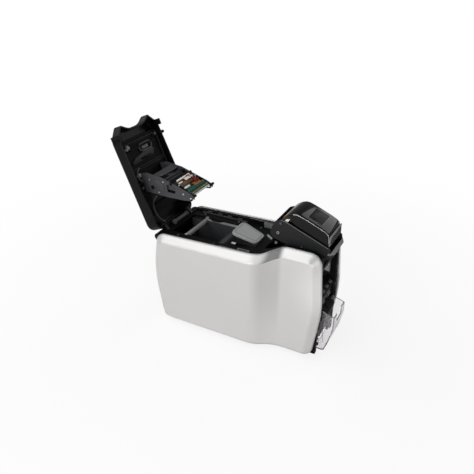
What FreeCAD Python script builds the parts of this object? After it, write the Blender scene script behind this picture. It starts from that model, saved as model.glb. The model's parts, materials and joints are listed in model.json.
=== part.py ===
import FreeCAD, Part
import math
import os
import re
from types import SimpleNamespace

import Sketcher

# Card printer with its lid raised: X runs across it, Y from front to rear, Z up.
# The origin is on the table under the middle of the casing, and all sizes are in mm.

SIZES = {
    # Casing
    "rear_reach": 188.0,
    "front_reach": 164.0,
    "rear_half": 86.0,
    "front_half": 66.0,
    "step_rear": 22.0,
    "step_run": 70.0,
    "rim_depth": 15.5,
    "band": 13.5,
    "rim_round": 3.0,
    "crease_round": 2.0,
    "skin": 3.0,
    "table_gap": 5.4,
    "top_rear": 204.5,
    "top_rise": 8.0,
    "shoulder_rise": 20.0,
    "shoulder_rear": 48.0,
    "shoulder_run": 40.0,
    "corner_round": 22.0,
    "lean_rear_top": 12.0,
    "lean_rear_foot": 16.0,
    "lean_front_top": 7.0,
    "lean_front_foot": 13.0,
    "bulge": 1.5,
    "bulge_height": 115.0,
    "core_gap": 1.0,
    "wall": 3.0,
    "tray_height": 40.0,
    "front_inset": 26.0,
    "return_run": 30.0,
    "foot_radius": 9.0,
    "foot_inset": 22.0,
    # Sockets, vents and fan in the rear cover
    "socket_z": 62.0,
    "socket_gap": 0.2,
    "socket_wall": 1.4,
    "socket_inset": 3.4,
    "socket_long": 16.0,
    "mouth_deep": 11.0,
    "power_wide": 12.0,
    "power_high": 11.0,
    "network_wide": 16.0,
    "network_high": 14.0,
    "usb_wide": 12.5,
    "usb_high": 11.0,
    "prong_radius": 1.0,
    "prong_long": 13.5,
    "rocker_wide": 14.0,
    "rocker_high": 21.0,
    "rocker_inset": 7.0,
    "rocker_swing": 8.8,
    "rocker_half": 8.4,
    "rocker_round": 1.0,
    "case_proud": 1.8,
    "case_long": 18.2,
    "case_deep": 8.2,
    "vent_pitch": 8.0,
    "vent_wide": 3.5,
    "vent_half": 19.0,
    "fan_z": 131.0,
    "fan_inset": 12.0,
    "fan_deep": 10.0,
    "fan_half": 20.0,
    "fan_radius": 18.6,
    "fan_hub": 6.5,
    "fan_spoke": 2.0,
    "boss_radius": 3.0,
    "blade_thick": 1.4,
    "blade_gap": 0.6,
    "blade_turn": 32.0,
    # Deck
    "floor_drop": 6.5,
    "deck_deep": 15.0,
    "deck_drop": 2.5,
    "deck_inset": 20.0,
    "ledge_inset": 17.0,
    "ledge_wide": 5.0,
    "deck_ledge": 7.0,
    "recess_front": 38.0,
    "well_half": 37.0,
    "well_rear": 41.0,
    "web_run": 14.0,
    "web_lip": 3.0,
    "bridge_reach": 4.5,
    "bridge_drop": 7.6,
    "bridge_round": 2.0,
    "slot_rear": 28.6,
    "slot_gap": 0.3,
    # Ribbon bay
    "bay_half": 37.0,
    "bay_front": 40.0,
    "bay_low": 117.5,
    "tub_wall": 2.0,
    "tub_drop": 4.0,
    "tub_soft": 10.0,
    "bar_inset": 59.0,
    "bar_wide": 6.0,
    "bar_lower": 2.0,
    "bar_deep": 6.0,
    "bar_front": 3.8,
    "rail_wide": 4.5,
    "rail_round": 2.0,
    "fit_gap": 0.2,
    "supply_run": 22.0,
    "supply_z": 165.0,
    "take_up_run": 9.0,
    "take_up_z": 163.0,
    "hub_radius": 8.6,
    "hub_long": 9.5,
    "hub_in": 9.0,
    "hub_pin": 3.0,
    "hub_hole": 9.5,
    # Lid
    "hinge_inset": 8.0,
    "hinge_lift": 3.5,
    "lid_open": 112.4,
    "lid_margin": 6.5,
    "lid_high": 30.5,
    "lid_inset": 1.0,
    "lid_wall": 2.5,
    "lid_lift": 1.2,
    "lid_front": 8.0,
    "lid_corner": 18.0,
    "lid_cheek": 26.0,
    "lid_fall": 5.0,
    "horn_margin": 7.5,
    "horn_reach": 29.5,
    "horn_round": 2.5,
    "notch_half": 23.0,
    "notch_reach": 18.0,
    "notch_round": 40.0,
    "lid_round": 6.0,
    "relief_run": 15.0,
    "relief_rise": 8.0,
    "liner_drop": 10.0,
    "liner_thick": 2.0,
    "liner_margin": 6.0,
    "liner_front": 2.0,
    "liner_run": 22.0,
    "head_window": 30.0,
    "window_front": 104.0,
    "window_rear": 140.0,
    "rib_y": 20.0,
    "rib_thick": 3.0,
    "rib_deep": 6.0,
    "ridge_y": 48.0,
    "ridge_thick": 4.0,
    "ridge_rise": 20.0,
    "ridge_radius": 30.0,
    "pin_radius": 2.0,
    "knuckle_radius": 4.2,
    "knuckle_inset": 17.0,
    "knuckle_wide": 7.0,
    "ear_wide": 4.0,
    "ear_half": 5.0,
    "ear_run": 16.0,
    "ear_round": 4.5,
    "run_gap": 0.05,
    "side_gap": 0.5,
    "lug_front": 14.0,
    "lug_long": 12.0,
    "lug_wide": 2.5,
    "lug_sink": 0.5,
    "lug_lift": 5.0,
    "pocket_wide": 6.4,
    "pocket_gap": 0.1,
    "pocket_wall": 1.4,
    "pocket_skin": 0.5,
    "pocket_floor": 2.0,
    "pocket_high": 10.0,
    "pocket_run": 3.0,
    # Print head, hung under the lid
    "arm_half": 35.5,
    "arm_thick": 2.0,
    "arm_run": 59.0,
    "arm_short": 2.4,
    "arm_sink": 3.0,
    "arm_over": 1.0,
    "arm_deep": 20.0,
    "arm_round": 10.0,
    "arm_lead": 13.0,
    "arm_trail": 25.0,
    "notch_soft": 2.0,
    "window_soft": 3.0,
    "brace_thick": 2.5,
    "brace_wide": 14.0,
    "brace_along": 6.0,
    "brace_out": 8.0,
    "brace_back": 22.0,
    "head_half": 31.0,
    "head_pivot_along": 30.0,
    "head_pivot_in": 4.0,
    "head_pin": 2.5,
    "frame_along": 26.0,
    "frame_end": 100.0,
    "frame_out": 3.0,
    "frame_thick": 2.4,
    "frame_rail": 6.0,
    "frame_bar": 14.0,
    "frame_tail": 24.0,
    "cheek_lead": 4.0,
    "cheek_deep": 13.0,
    "cheek_soft": 2.0,
    "cheek_plate": 1.6,
    "strip_proud": 2.0,
    "strip_lap": 4.0,
    "strip_step": 0.4,
    "head_board_long": 17.0,
    "head_board_thick": 1.6,
    "head_board_gap": 1.0,
    "sink_along": 46.0,
    "sink_long": 32.0,
    "sink_thick": 2.0,
    "sink_margin": 3.0,
    "fin_high": 4.0,
    "fin_thick": 1.4,
    "fin_pitch": 4.0,
    "fin_end": 4.0,
    "plug_along": 58.0,
    "plug_long": 7.0,
    "plug_high": 5.0,
    "plug_margin": 5.0,
    "plug_round": 1.0,
    "cable_along": 66.0,
    "cable_long": 16.0,
    "cable_droop": 4.0,
    "cable_lift": 0.2,
    "cable_thick": 0.8,
    "cable_in": 2.0,
    # Card path
    "card_level": 119.0,
    "roller_radius": 8.0,
    "roller_half": 30.0,
    "shaft_radius": 3.0,
    "shaft_proud": 1.5,
    "belt_reach": 14.0,
    "platen_inset": 43.6,
    "print_y": 70.0,
    "clean_y": 2.0,
    "feed_y": 70.0,
    "pinch_radius": 5.0,
    "pinch_shaft": 2.0,
    "pinch_gap": 0.3,
    "pick_inset": 69.0,
    "pick_z": 192.0,
    "pick_radius": 9.3,
    "pick_half": 19.0,
    "pick_slot": 17.0,
    "pick_clear": 12.0,
    "plate_in": 44.0,
    "plate_thick": 2.0,
    "plate_low": 9.4,
    "plate_drop": 3.0,
    "plate_inset": 46.0,
    "plate_cut": 20.0,
    "plate_horn": 8.0,
    "plate_slope": 4.0,
    "plate_nick": 5.0,
    "plate_round": 4.0,
    "window_low": 30.0,
    "window_high": 78.0,
    "window_round": 8.0,
    "belt_in": 48.0,
    "belt_wide": 6.0,
    "belt_thick": 1.4,
    "pulley_radius": 7.0,
    "gear_gap": 0.6,
    "gear_wide": 6.0,
    "gear_module": 0.8,
    "gear_teeth": 40.0,
    "gear_slack": 0.1,
    "gear_hole": 3.0,
    "gear_hole_out": 10.0,
    "pinion_teeth": 12.0,
    "motor_half": 12.0,
    "motor_long": 24.0,
    "motor_soft": 2.0,
    "motor_shaft": 2.0,
    "motor_bore": 6.0,
    "shaft_in": 4.0,
    "motor_hub": 4.0,
    # Main board
    "board_low": 24.0,
    "board_tall": 76.0,
    "board_front": 60.0,
    "board_long": 210.0,
    "board_thick": 1.6,
    "board_off": 4.4,
    "board_inset": 8.0,
    "spacer_inset": 6.0,
    "spacer_radius": 3.0,
    "chip_high": 4.0,
    # Front
    "post_in": 41.0,
    "post_wide": 9.0,
    "post_inset": 6.0,
    "post_deep": 11.0,
    "post_low": 12.0,
    "post_foot": 14.0,
    "post_proud": 8.0,
    "beam_deep": 8.0,
    "beam_high": 7.0,
    "hook_reach": 13.0,
    "hook_low": 178.0,
    "hook_high": 18.0,
    "hook_sink": 1.0,
    "hook_set": 9.0,
    "hook_thick": 4.0,
    "hook_round": 1.0,
    "cheek_thick": 4.0,
    "exit_drop": 35.0,
    "exit_rise": 17.0,
    "exit_roof": 9.0,
    "exit_inset": 1.0,
    "exit_long": 35.0,
    "exit_round": 3.0,
    "exit_back": 8.0,
    "shelf_run": 18.0,
    "shelf_drop": 7.0,
    "shelf_thick": 3.5,
    "chute_rise": 15.0,
    "chute_reach": 8.5,
    "chute_half": 27.5,
    "chute_lip": 14.8,
    "chute_bar": 6.0,
    "chute_web": 4.0,
    "exit_tyre": 14.0,
    "tyre_out": 22.0,
    # Card feeder
    "pivot_back": 4.0,
    "pivot_drop": 14.5,
    "feeder_open": 22.0,
    "feeder_half": 34.0,
    "feeder_wall": 2.5,
    "feeder_pin": 3.0,
    "feeder_gap": 5.5,
    "feeder_nose": 6.5,
    "feeder_under": 22.0,
    "feeder_over": 21.5,
    "feeder_round": 2.0,
    "pin_sink": 1.0,
    "pick_open_half": 22.0,
    "pick_open_run": 14.0,
    "pick_open_rise": 10.0,
    "outlet_half": 29.0,
    "outlet_lift": 3.0,
    "outlet_high": 4.0,
    "outlet_run": 13.5,
    "lip_half": 37.0,
    "lip_reach": 3.0,
    "lip_deep": 10.0,
    "lip_lift": 11.0,
    "lip_thick": 3.0,
    "lip_round": 1.0,
    "hood_half": 30.3,
    "hood_wall": 1.8,
    "hood_round": 3.0,
    "hood_rise": 29.5,
    "hood_deep": 37.0,
    "hood_back": 5.5,
    "hood_nose": 13.5,
    "hood_edge": 2.0,
    "hood_pin_run": 11.5,
    "hood_pin_rise": 6.5,
    "hood_pin": 2.5,
    # Output hopper
    "hopper_half": 30.2,
    "hopper_wall": 2.0,
    "hopper_reach": 20.5,
    "hopper_back": 15.0,
    "hopper_low": 10.5,
    "hopper_high": 101.0,
    "hopper_round": 4.0,
    "hopper_pin_back": 3.0,
    "hopper_pin_z": 35.0,
    "hopper_pin": 2.6,
    "pin_proud": 2.0,
    "finger_half": 15.0,
    "finger_low": 76.0,
    "finger_round": 6.0,
    "finger_run": 14.5,
    "back_half": 24.0,
    "back_low": 26.0,
    "back_lean": 12.2,
    "back_round": 0.8,
    "back_tab": 2.5,
    # Cleaning cassette
    "grip_rear": 26.5,
    "grip_front": 18.5,
    "grip_run": 27.0,
    "grip_round": 9.0,
    "grip_thick": 5.0,
    "grip_edge": 1.8,
    "grip_y": 11.0,
    "grip_lift": 8.6,
    "grip_lean": 16.5,
    "cassette_half": 20.0,
    "cassette_front": 15.0,
    "cassette_long": 45.0,
    "cassette_rise": 8.0,
    "cassette_top": 4.0,
    "cassette_round": 4.0,
    "flange_half": 26.0,
    "flange_rear": 27.0,
    "flange_thick": 2.0,
    "mouth_half": 17.0,
    "mouth_run": 6.0,
    "mouth_high": 18.0,
    "sticky_rise": 12.6,
    "sticky_pin": 2.5,
    "sticky_radius": 5.4,
    "sticky_gap": 0.4,
    # One overrun serves every cut
    "over": 5.0,
}

s = SimpleNamespace(**SIZES)

# Heights and places that follow from the sizes above
s.top_mid = s.top_rear + s.top_rise
s.shoulder_top = s.top_mid + s.shoulder_rise
s.tray_front = s.front_reach - s.front_inset
s.deck_front = s.front_reach - s.deck_inset
s.deck_rear = s.rear_reach - s.ledge_inset
s.recess_rear = s.deck_rear - s.ledge_wide
s.deck_floor = s.top_rear - s.floor_drop
s.deck_low = s.deck_floor - s.deck_deep
s.recess_half = s.rear_half - s.rim_depth - s.deck_ledge
s.slot_half = s.cassette_half + s.slot_gap
s.slot_front = s.cassette_front + s.slot_gap
s.fan_rear = s.rear_reach - s.fan_inset
s.socket_rear = s.rear_reach - s.socket_inset
s.bar_middle = s.rear_reach - s.bar_inset
s.bar_top = s.deck_floor - s.bar_lower
s.tub_top = s.bar_top - s.tub_drop
s.supply_y = s.bay_front + s.supply_run
s.take_up_y = s.recess_rear - s.take_up_run
s.hinge_y = s.rear_reach - s.hinge_inset
s.hinge_z = s.top_rear + s.hinge_lift
s.lid_half = s.rear_half - s.rim_depth - s.lid_margin
s.lid_top = s.top_rear + s.lid_high
s.lid_rear = s.rear_reach - s.lid_inset
s.horn_half = s.front_half - s.rim_depth - s.horn_margin
s.liner_level = s.lid_top - s.liner_drop
s.liner_low = s.liner_level - s.liner_thick
s.liner_half = s.lid_half - s.liner_margin
s.knuckle_out = s.lid_half - s.knuckle_inset
s.platen_y = s.rear_reach - s.platen_inset
s.arm_tip_y = s.platen_y - s.arm_short
s.arm_root_y = s.arm_tip_y - s.arm_run
s.arm_root_z = s.hinge_z - s.arm_sink
s.arm_tip_z = s.card_level - s.arm_over
s.low_z = s.card_level - s.roller_radius
s.pinch_z = s.card_level + s.pinch_gap + s.pinch_radius
s.pick_y = s.front_reach - s.pick_inset
s.plate_front = s.front_reach - s.plate_inset
s.plate_high = s.deck_floor - s.plate_drop
s.gear_x = s.belt_in + s.belt_wide + s.gear_gap
s.motor_z = s.low_z - s.gear_module * (s.gear_teeth + s.pinion_teeth) / 2 - s.gear_slack
s.board_x = s.plate_in + s.plate_thick + s.board_off + s.board_thick
s.post_front = s.front_reach - s.post_inset
s.feeder_y = s.post_front - s.pivot_back
s.feeder_z = s.shoulder_top - s.pivot_drop
s.exit_front = s.post_front - s.exit_inset
s.exit_rear = s.exit_front - s.exit_long
s.exit_y = s.exit_front - s.exit_back
s.exit_low = s.card_level - s.exit_drop
s.exit_high = s.card_level + s.exit_rise
s.chute_top = s.exit_low + s.chute_rise
s.feeder_rear = s.well_rear + s.feeder_gap
s.feeder_front = s.post_front + s.feeder_nose
s.feeder_low = s.feeder_z - s.feeder_under
s.feeder_top = s.feeder_z + s.feeder_over
s.hood_top = s.shoulder_top + s.hood_rise
s.hood_low = s.hood_top - s.hood_deep
s.hood_rear = s.feeder_rear + s.hood_back
s.hood_front = s.feeder_front - s.hood_nose
s.hood_pivot_y = s.feeder_rear + s.hood_pin_run
s.hood_pivot_z = s.hood_low + s.hood_pin_rise
s.hopper_front = s.front_reach + s.hopper_reach
s.hopper_rear = s.front_reach - s.hopper_back
s.hopper_pin_y = s.post_front - s.hopper_pin_back
s.cassette_low = s.card_level + s.cassette_rise
s.sticky_z = s.card_level + s.sticky_rise
s.grip_z = s.deck_floor + s.grip_lift
SOCKET_SHARES = {"power": -0.51, "network": -0.23, "usb": 0.05, "rocker": 0.37}
for socket, share in SOCKET_SHARES.items():
    setattr(s, socket + "_x", share * s.rear_half)

V = FreeCAD.Vector
LONG = s.rear_reach + s.front_reach
TALL = s.hood_top + s.rear_reach

doc = FreeCAD.newDocument("id_card_printer")
sheet = doc.addObject("Spreadsheet::Sheet", "dims")
for row, (name, value) in enumerate(vars(s).items(), 1):
    sheet.set("A%d" % row, name)
    sheet.set("B%d" % row, repr(value))
    sheet.setAlias("B%d" % row, name)
doc.recompute()


def bound(text):
    """The expression text with every size read from the sheet."""
    return re.sub(r"[a-z_]+", lambda m: "dims." + m.group() if hasattr(s, m.group()) else m.group(), text)


# Outlines

def rounded(points, radii):
    """Lines and tangent arcs round a closed polygon, one corner radius for each point."""
    count = len(points)
    corners = []
    for i in range(count):
        before, here, after = (V(*points[k % count], 0) for k in (i - 1, i, i + 1))
        back, on = (before - here).normalize(), (after - here).normalize()
        half = back.getAngle(on) / 2
        reach = radii[i] / math.tan(half) if radii[i] else 0
        middle = (back + on).normalize() * (radii[i] / math.sin(half) - radii[i]) if radii[i] else V()
        corners.append((here + back * reach, here + middle, here + on * reach))
    shapes = []
    for i in range(count):
        start, middle, end = corners[i]
        if radii[i]:
            shapes.append(Part.Arc(start, middle, end))
        following = corners[(i + 1) % count][0]
        if (following - end).Length > 1e-6:
            shapes.append(Part.LineSegment(end, following))
    return shapes


def polygon(points):
    """A closed polygon with sharp corners."""
    return rounded(points, [0] * len(points))


def spread(shares, low, high):
    """Points given as shares of the box between two corners."""
    return [(low[0] + (high[0] - low[0]) * row[0], low[1] + (high[1] - low[1]) * row[1]) for row in shares]


def outline(shares, low, high, soft=0):
    """A closed outline of shares of a box, each corner with its radius as a share of soft."""
    return rounded(spread(shares, low, high), [soft * row[2] if soft else 0 for row in shares])


def flipped(points):
    """Points mirrored across the Y axis of the outline, in the other order."""
    return [(-x, y) for x, y in reversed(points)]


def wire(loop):
    """An outline as one closed wire."""
    return Part.Wire(Part.__sortEdges__([piece.toShape() for piece in loop]))


def prism_x(loop, start, end, inset=0):
    """A side outline in Y and Z, drawn in by inset and carried across from start to end."""
    face = Part.Face(wire(loop))
    if inset:
        face = Part.Face(face.makeOffset2D(-inset).OuterWire)
    solid = face.extrude(V(0, 0, end - start))
    solid.translate(V(0, 0, start))
    solid.rotate(V(0, 0, 0), V(1, 1, 1), 120)
    return solid


def prism_z(loop, start, end):
    """A plan outline in X and Y, raised from start to end."""
    solid = Part.Face(wire(loop)).extrude(V(0, 0, end - start))
    solid.translate(V(0, 0, start))
    return solid


def block(x0, x1, y0, y1, z0, z1):
    """A box between two corners."""
    return Part.makeBox(x1 - x0, y1 - y0, z1 - z0, V(x0, y0, z0))


def rod_x(y, z, radius, x0, x1):
    """A round bar that runs across."""
    return Part.makeCylinder(radius, x1 - x0, V(x0, y, z), V(1, 0, 0))


def through_x(y, z, radius):
    """A round cutter that runs across the whole casing."""
    return rod_x(y, z, radius, -LONG, LONG)


def mirrored(shape):
    """The same form on the other side of the casing."""
    return shape.mirror(V(0, 0, 0), V(1, 0, 0))


# Sub-parts

PLACED = []
UPRIGHT = FreeCAD.Placement()
OPEN_LID = FreeCAD.Placement(V(0, 0, 0), FreeCAD.Rotation(V(1, 0, 0), -s.lid_open),
                             V(0, s.hinge_y, s.hinge_z))
OPEN_FEEDER = FreeCAD.Placement(V(0, 0, 0), FreeCAD.Rotation(V(1, 0, 0), s.feeder_open),
                                V(0, -s.feeder_y, s.feeder_z))


def feature(label, shape, place=UPRIGHT):
    """A sub-part whose shape is worked out with Part's own functions."""
    made = doc.addObject("Part::Feature", label)
    made.Label = label
    made.Shape = shape.removeSplitter() if shape.ShapeType != "Compound" else shape
    made.Placement = place.multiply(made.Placement)
    PLACED.append(made)
    return made


class Piece:
    """A sub-part made as one body, feature by feature, with its sizes bound to the sheet."""

    def __init__(self, label, place=UPRIGHT):
        self.body = doc.addObject("PartDesign::Body", label)
        self.body.Label = label
        self.body.Placement = place
        self.steps = 0
        PLACED.append(self.body)

    def sketch(self, plane, start, shapes):
        """A sketch on one of the body's own planes, moved along the plane's normal to start."""
        self.steps += 1
        made = self.body.newObject("Sketcher::SketchObject", "%s_sketch_%d" % (self.body.Name, self.steps))
        base = [f for f in self.body.Origin.OriginFeatures if f.Role == plane + "_Plane"][0]
        made.AttachmentSupport = (base, [""])
        made.MapMode = "FlatFace"
        made.setExpression("AttachmentOffset.Base.z", bound(start))
        for shape in shapes:
            if len(shape) == 4:
                rectangle(made, *shape)
            else:
                circle(made, *shape)
        return made

    def add(self, plane, start, length, *shapes):
        """Material from start over length along the plane's normal."""
        sketch = self.sketch(plane, start, shapes)
        made = self.body.newObject("PartDesign::Pad", "%s_pad_%d" % (self.body.Name, self.steps))
        made.Profile = sketch
        made.setExpression("Length", bound(length))
        return self

    def cut(self, plane, start, length, *shapes):
        """A hollow from start over length along the plane's normal."""
        doc.recompute()
        before = self.body.Shape.Volume
        sketch = self.sketch(plane, start, shapes)
        made = self.body.newObject("PartDesign::Pocket", "%s_pocket_%d" % (self.body.Name, self.steps))
        made.Profile = sketch
        made.Reversed = True
        made.setExpression("Length", bound(length))
        doc.recompute()
        if self.body.Shape.Volume >= before:
            raise RuntimeError(made.Name + " cuts nothing")
        return self

    def ease(self, kind, size, chosen):
        """A fillet or chamfer on the edges that chosen picks."""
        doc.recompute()
        base = self.body.Tip
        names = ["Edge%d" % n for n, edge in enumerate(base.Shape.Edges, 1) if chosen(edge)]
        self.steps += 1
        made = self.body.newObject("PartDesign::" + kind, "%s_%s_%d" % (self.body.Name, kind.lower(), self.steps))
        made.Base = (base, names)
        made.setExpression("Radius" if kind == "Fillet" else "Size", bound(size))
        return self


def rectangle(sketch, left, right, low, high):
    """A rectangle whose four sides are bound to the sheet."""
    first = sketch.GeometryCount
    corners = [V(0, 0, 0), V(1, 0, 0), V(1, 1, 0), V(0, 1, 0)]
    for i in range(4):
        sketch.addGeometry(Part.LineSegment(corners[i], corners[(i + 1) % 4]), False)
    for i in range(4):
        sketch.addConstraint(Sketcher.Constraint("Coincident", first + i, 2, first + (i + 1) % 4, 1))
        sketch.addConstraint(Sketcher.Constraint(("Horizontal", "Vertical")[i % 2], first + i))
    for kind, corner, text in (("DistanceX", 0, left), ("DistanceY", 0, low),
                               ("DistanceX", 2, right), ("DistanceY", 2, high)):
        made = sketch.addConstraint(Sketcher.Constraint(kind, -1, 1, first + corner, 1, 1.0))
        sketch.setExpression("Constraints[%d]" % made, bound(text))


def circle(sketch, across, up, radius):
    """A circle whose centre and radius are bound to the sheet."""
    made = sketch.addGeometry(Part.Circle(V(0, 0, 0), V(0, 0, 1), 1.0), False)
    for kind, text in (("DistanceX", across), ("DistanceY", up)):
        held = sketch.addConstraint(Sketcher.Constraint(kind, -1, 1, made, 3, 1.0))
        sketch.setExpression("Constraints[%d]" % held, bound(text))
    held = sketch.addConstraint(Sketcher.Constraint("Radius", made, 1.0))
    sketch.setExpression("Constraints[%d]" % held, bound(radius))


# Casing forms

CORNER_SHARES = [1, 12, 1, 1, 12, 1, 1.8, 1.8]


def side_outline():
    """The casing seen from the side: flat rear part, raised shoulder, rounded corners."""
    y_rear, y_front = s.rear_reach, -s.front_reach
    points = [
        (y_rear - s.lean_rear_top, s.top_rear),
        (y_rear + s.bulge, s.bulge_height),
        (y_rear - s.lean_rear_foot, s.table_gap),
        (y_front + s.lean_front_foot, s.table_gap),
        (y_front - s.bulge, s.bulge_height),
        (y_front + s.lean_front_top, s.shoulder_top),
        (-s.shoulder_rear - s.shoulder_run, s.shoulder_top),
        (-s.shoulder_rear, s.top_mid),
    ]
    return rounded(points, [share * s.corner_round for share in CORNER_SHARES])


def side_curve(inset):
    """The casing's side in plan, as arcs between the wide rear and the narrow front."""
    rise = s.rear_half - s.front_half
    radius = (s.step_run ** 2 + rise ** 2) / (4 * rise)
    first = V(s.rear_half - radius, -s.step_rear, 0)
    second = V(s.front_half + radius, -s.step_rear - s.step_run, 0)
    towards = (second - first).normalize()
    near, far = radius - inset, radius + inset
    join = first + towards * near
    start = V(s.rear_half - inset, -s.step_rear, 0)
    end = V(s.front_half - inset, -s.step_rear - s.step_run, 0)
    arc_in = Part.Arc(start, first + (V(1, 0, 0) + towards).normalize() * near, join)
    arc_out = Part.Arc(join, second + (V(-1, 0, 0) - towards).normalize() * far, end)
    return start, end, [arc_in, arc_out]


def plan_outline(outer, inner, reach):
    """Plan region between two side curves, or from the middle when inner is None."""
    start, end, curve = side_curve(outer)
    rear, front = V(start.x, reach, 0), V(end.x, -reach, 0)
    loop = [Part.LineSegment(rear, start)] + curve + [Part.LineSegment(end, front)]
    if inner is None:
        back = [V(-front.x, front.y, 0), V(-end.x, end.y, 0), V(-start.x, start.y, 0), V(-rear.x, rear.y, 0)]
        loop.append(Part.LineSegment(front, back[0]))
        loop.append(Part.LineSegment(back[0], back[1]))
        for arc in reversed(curve):
            shape = arc.toShape()
            low, high = shape.FirstParameter, shape.LastParameter
            ends = [shape.valueAt(high), shape.valueAt((low + high) / 2), shape.valueAt(low)]
            if abs(ends[0].y) < abs(ends[2].y):
                ends.reverse()
            loop.append(Part.Arc(*[V(-p.x, p.y, 0) for p in ends]))
        loop.append(Part.LineSegment(back[2], back[3]))
        loop.append(Part.LineSegment(back[3], rear))
        return loop
    in_start, in_end, in_curve = side_curve(inner)
    in_rear, in_front = V(in_start.x, reach, 0), V(in_end.x, -reach, 0)
    loop.append(Part.LineSegment(front, in_front))
    loop += [Part.LineSegment(in_front, in_end)] + in_curve + [Part.LineSegment(in_start, in_rear)]
    loop.append(Part.LineSegment(in_rear, rear))
    return loop


def panel_form(inset, band):
    """A dished side panel, drawn in by inset, with a sloping band round its outer edge."""
    inner = s.rim_depth + (s.over if inset else 0)
    slab = prism_x(side_outline(), 0, s.rear_half + s.over, inset)
    strip = prism_z(plan_outline(inset, inner, LONG), 0, TALL)
    form = slab.common(strip).Solids[0]
    outer_faces = []
    for face in form.Faces:
        mid = face.CenterOfMass
        normal = face.normalAt(*face.Surface.parameter(mid))
        if abs(normal.z) < 0.01 and normal.x > 0.5 and face.BoundBox.ZLength > s.top_rear / 2:
            outer_faces.append(face)
    edges = []
    for face in outer_faces:
        for edge in face.Edges:
            shared = sum(1 for other in outer_faces for e in other.Edges if e.isSame(edge))
            if shared == 1:
                edges.append(edge)
    return form.makeChamfer(band, edges)


def core(inset, plan_inset):
    """The space inside the panels, drawn in from the side outline and from the panels' rims."""
    slab = prism_x(side_outline(), -s.rear_half, s.rear_half, inset)
    return slab.common(prism_z(plan_outline(s.rim_depth + plan_inset, None, LONG), 0, TALL))


def facing(face):
    """How far a face looks outwards across the casing, from -1 to 1."""
    u0, u1, v0, v1 = face.ParameterRange
    return face.normalAt((u0 + u1) / 2, (v0 + v1) / 2).x


def between(form, kind, other):
    """The edges where faces of one kind meet faces of another."""
    others = [edge for face in form.Faces if other(facing(face)) for edge in face.Edges]
    return [edge for face in form.Faces if kind(facing(face)) for edge in face.Edges
            if any(edge.isSame(held) for held in others)]


def sloping(outwards):
    """Whether a face belongs to the sloping band."""
    return 0.35 < outwards < 0.95


def slice_box(y0, y1, z0, z1):
    """A box across the whole casing between two depths and two heights."""
    return block(-LONG, LONG, y0, y1, z0, z1)


# Side panels
panel = panel_form(0, s.band)
panel = panel.makeFillet(s.rim_round, between(panel, sloping, lambda outwards: abs(outwards) < 0.2))
panel = panel.makeFillet(s.crease_round, between(panel, sloping, lambda outwards: outwards > 0.955))
right_panel = panel.cut(panel_form(s.skin, s.band - s.skin / 2))
feature("right_side_panel", right_panel)
feature("left_side_panel", mirrored(right_panel))

# Base tray and its feet
shell = core(s.core_gap, 0).cut(core(s.core_gap + s.wall, s.wall))
feature("base_tray", shell.common(slice_box(-s.tray_front, LONG, 0, s.tray_height)))
feet = Piece("rubber_feet")
spots = [(x, y) for x in ("-(rim_depth+foot_inset)", "rim_depth+foot_inset")
         for y in ("-tray_front+foot_inset", "rear_reach-foot_inset*2")]
spots.append(("0", "0"))
feet.add("XY", "0", "table_gap+core_gap", *[(x, y, "foot_radius") for x, y in spots])

# Rear cover, with a ledge that meets the deck and bosses that hold the fan
rear = shell.common(slice_box(s.rear_reach - s.return_run, LONG, s.tray_height, s.deck_low))
ledge = core(s.core_gap, 0).common(slice_box(s.deck_rear, LONG, s.deck_low - s.wall, s.deck_low))
rear = rear.fuse(ledge)
for label in SOCKET_SHARES:
    x = getattr(s, label + "_x")
    wide = getattr(s, label + "_wide") / 2
    high = getattr(s, label + "_high") / 2
    rear = rear.cut(block(x - wide, x + wide, 0, LONG, s.socket_z - high, s.socket_z + high))
for i in range(12):
    middle = (i - 5.5) * s.vent_pitch
    rear = rear.cut(block(middle - s.vent_wide / 2, middle + s.vent_wide / 2, 0, LONG,
                          s.fan_z - s.vent_half, s.fan_z + s.vent_half))
corner = s.fan_half - s.boss_radius
for x in (-corner, corner):
    for z in (s.fan_z - corner, s.fan_z + corner):
        boss = Part.makeCylinder(s.boss_radius, LONG, V(x, s.fan_rear, z), V(0, 1, 0))
        rear = rear.fuse(boss.common(core(s.core_gap * 2, s.wall)))
feature("rear_cover", rear)

# Deck, with its recess, the feeder's well, the ribbon bay's mouth and the hinge knuckles
deck = core(s.core_gap, 0).common(slice_box(-s.deck_front, s.deck_rear, s.deck_low, TALL))
lowered = core(s.core_gap, 0)
lowered.translate(V(0, 0, -s.deck_drop))
deck = deck.common(lowered)
recess = prism_z(plan_outline(s.rim_depth + s.deck_ledge, None, LONG), s.deck_floor, TALL)
deck = deck.cut(recess.common(slice_box(-s.recess_front, s.recess_rear, 0, TALL)))
hollow = core(s.core_gap + s.wall, s.wall)
deck = deck.cut(hollow.common(slice_box(-s.deck_front - s.over, s.recess_rear, 0, s.deck_floor - s.wall)))
shoulder = hollow.common(slice_box(-s.deck_front - s.over, -s.well_rear - s.wall, 0, TALL))
well_wall = s.well_half + s.wall
deck = deck.cut(shoulder.cut(block(-well_wall, well_wall, -LONG, LONG, 0, TALL)))
deck = deck.cut(block(-s.well_half, s.well_half, -LONG, -s.well_rear, 0, TALL))
deck = deck.cut(block(-well_wall, well_wall, -s.pick_y - s.pick_slot, -s.pick_y + s.pick_slot, 0,
                      s.feeder_z - s.pick_clear))
mouth_half = s.bay_half + s.rail_wide
deck = deck.cut(block(-mouth_half, mouth_half, s.bay_front, s.recess_rear - s.over, 0, TALL))
deck = deck.cut(block(-s.slot_half, s.slot_half, -s.slot_front, s.slot_rear, 0, TALL))
bridge_shares = [(0, 0, 0), (0.649, 0, 1), (1, 0.517, 1.5), (0.946, 0.828, 1), (0.541, 1, 2), (0, 1, 0)]
bridge = outline(bridge_shares, (s.recess_rear, s.deck_low), (s.hinge_y + s.bridge_reach, s.hinge_z - s.bridge_drop),
                 s.bridge_round)
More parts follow.
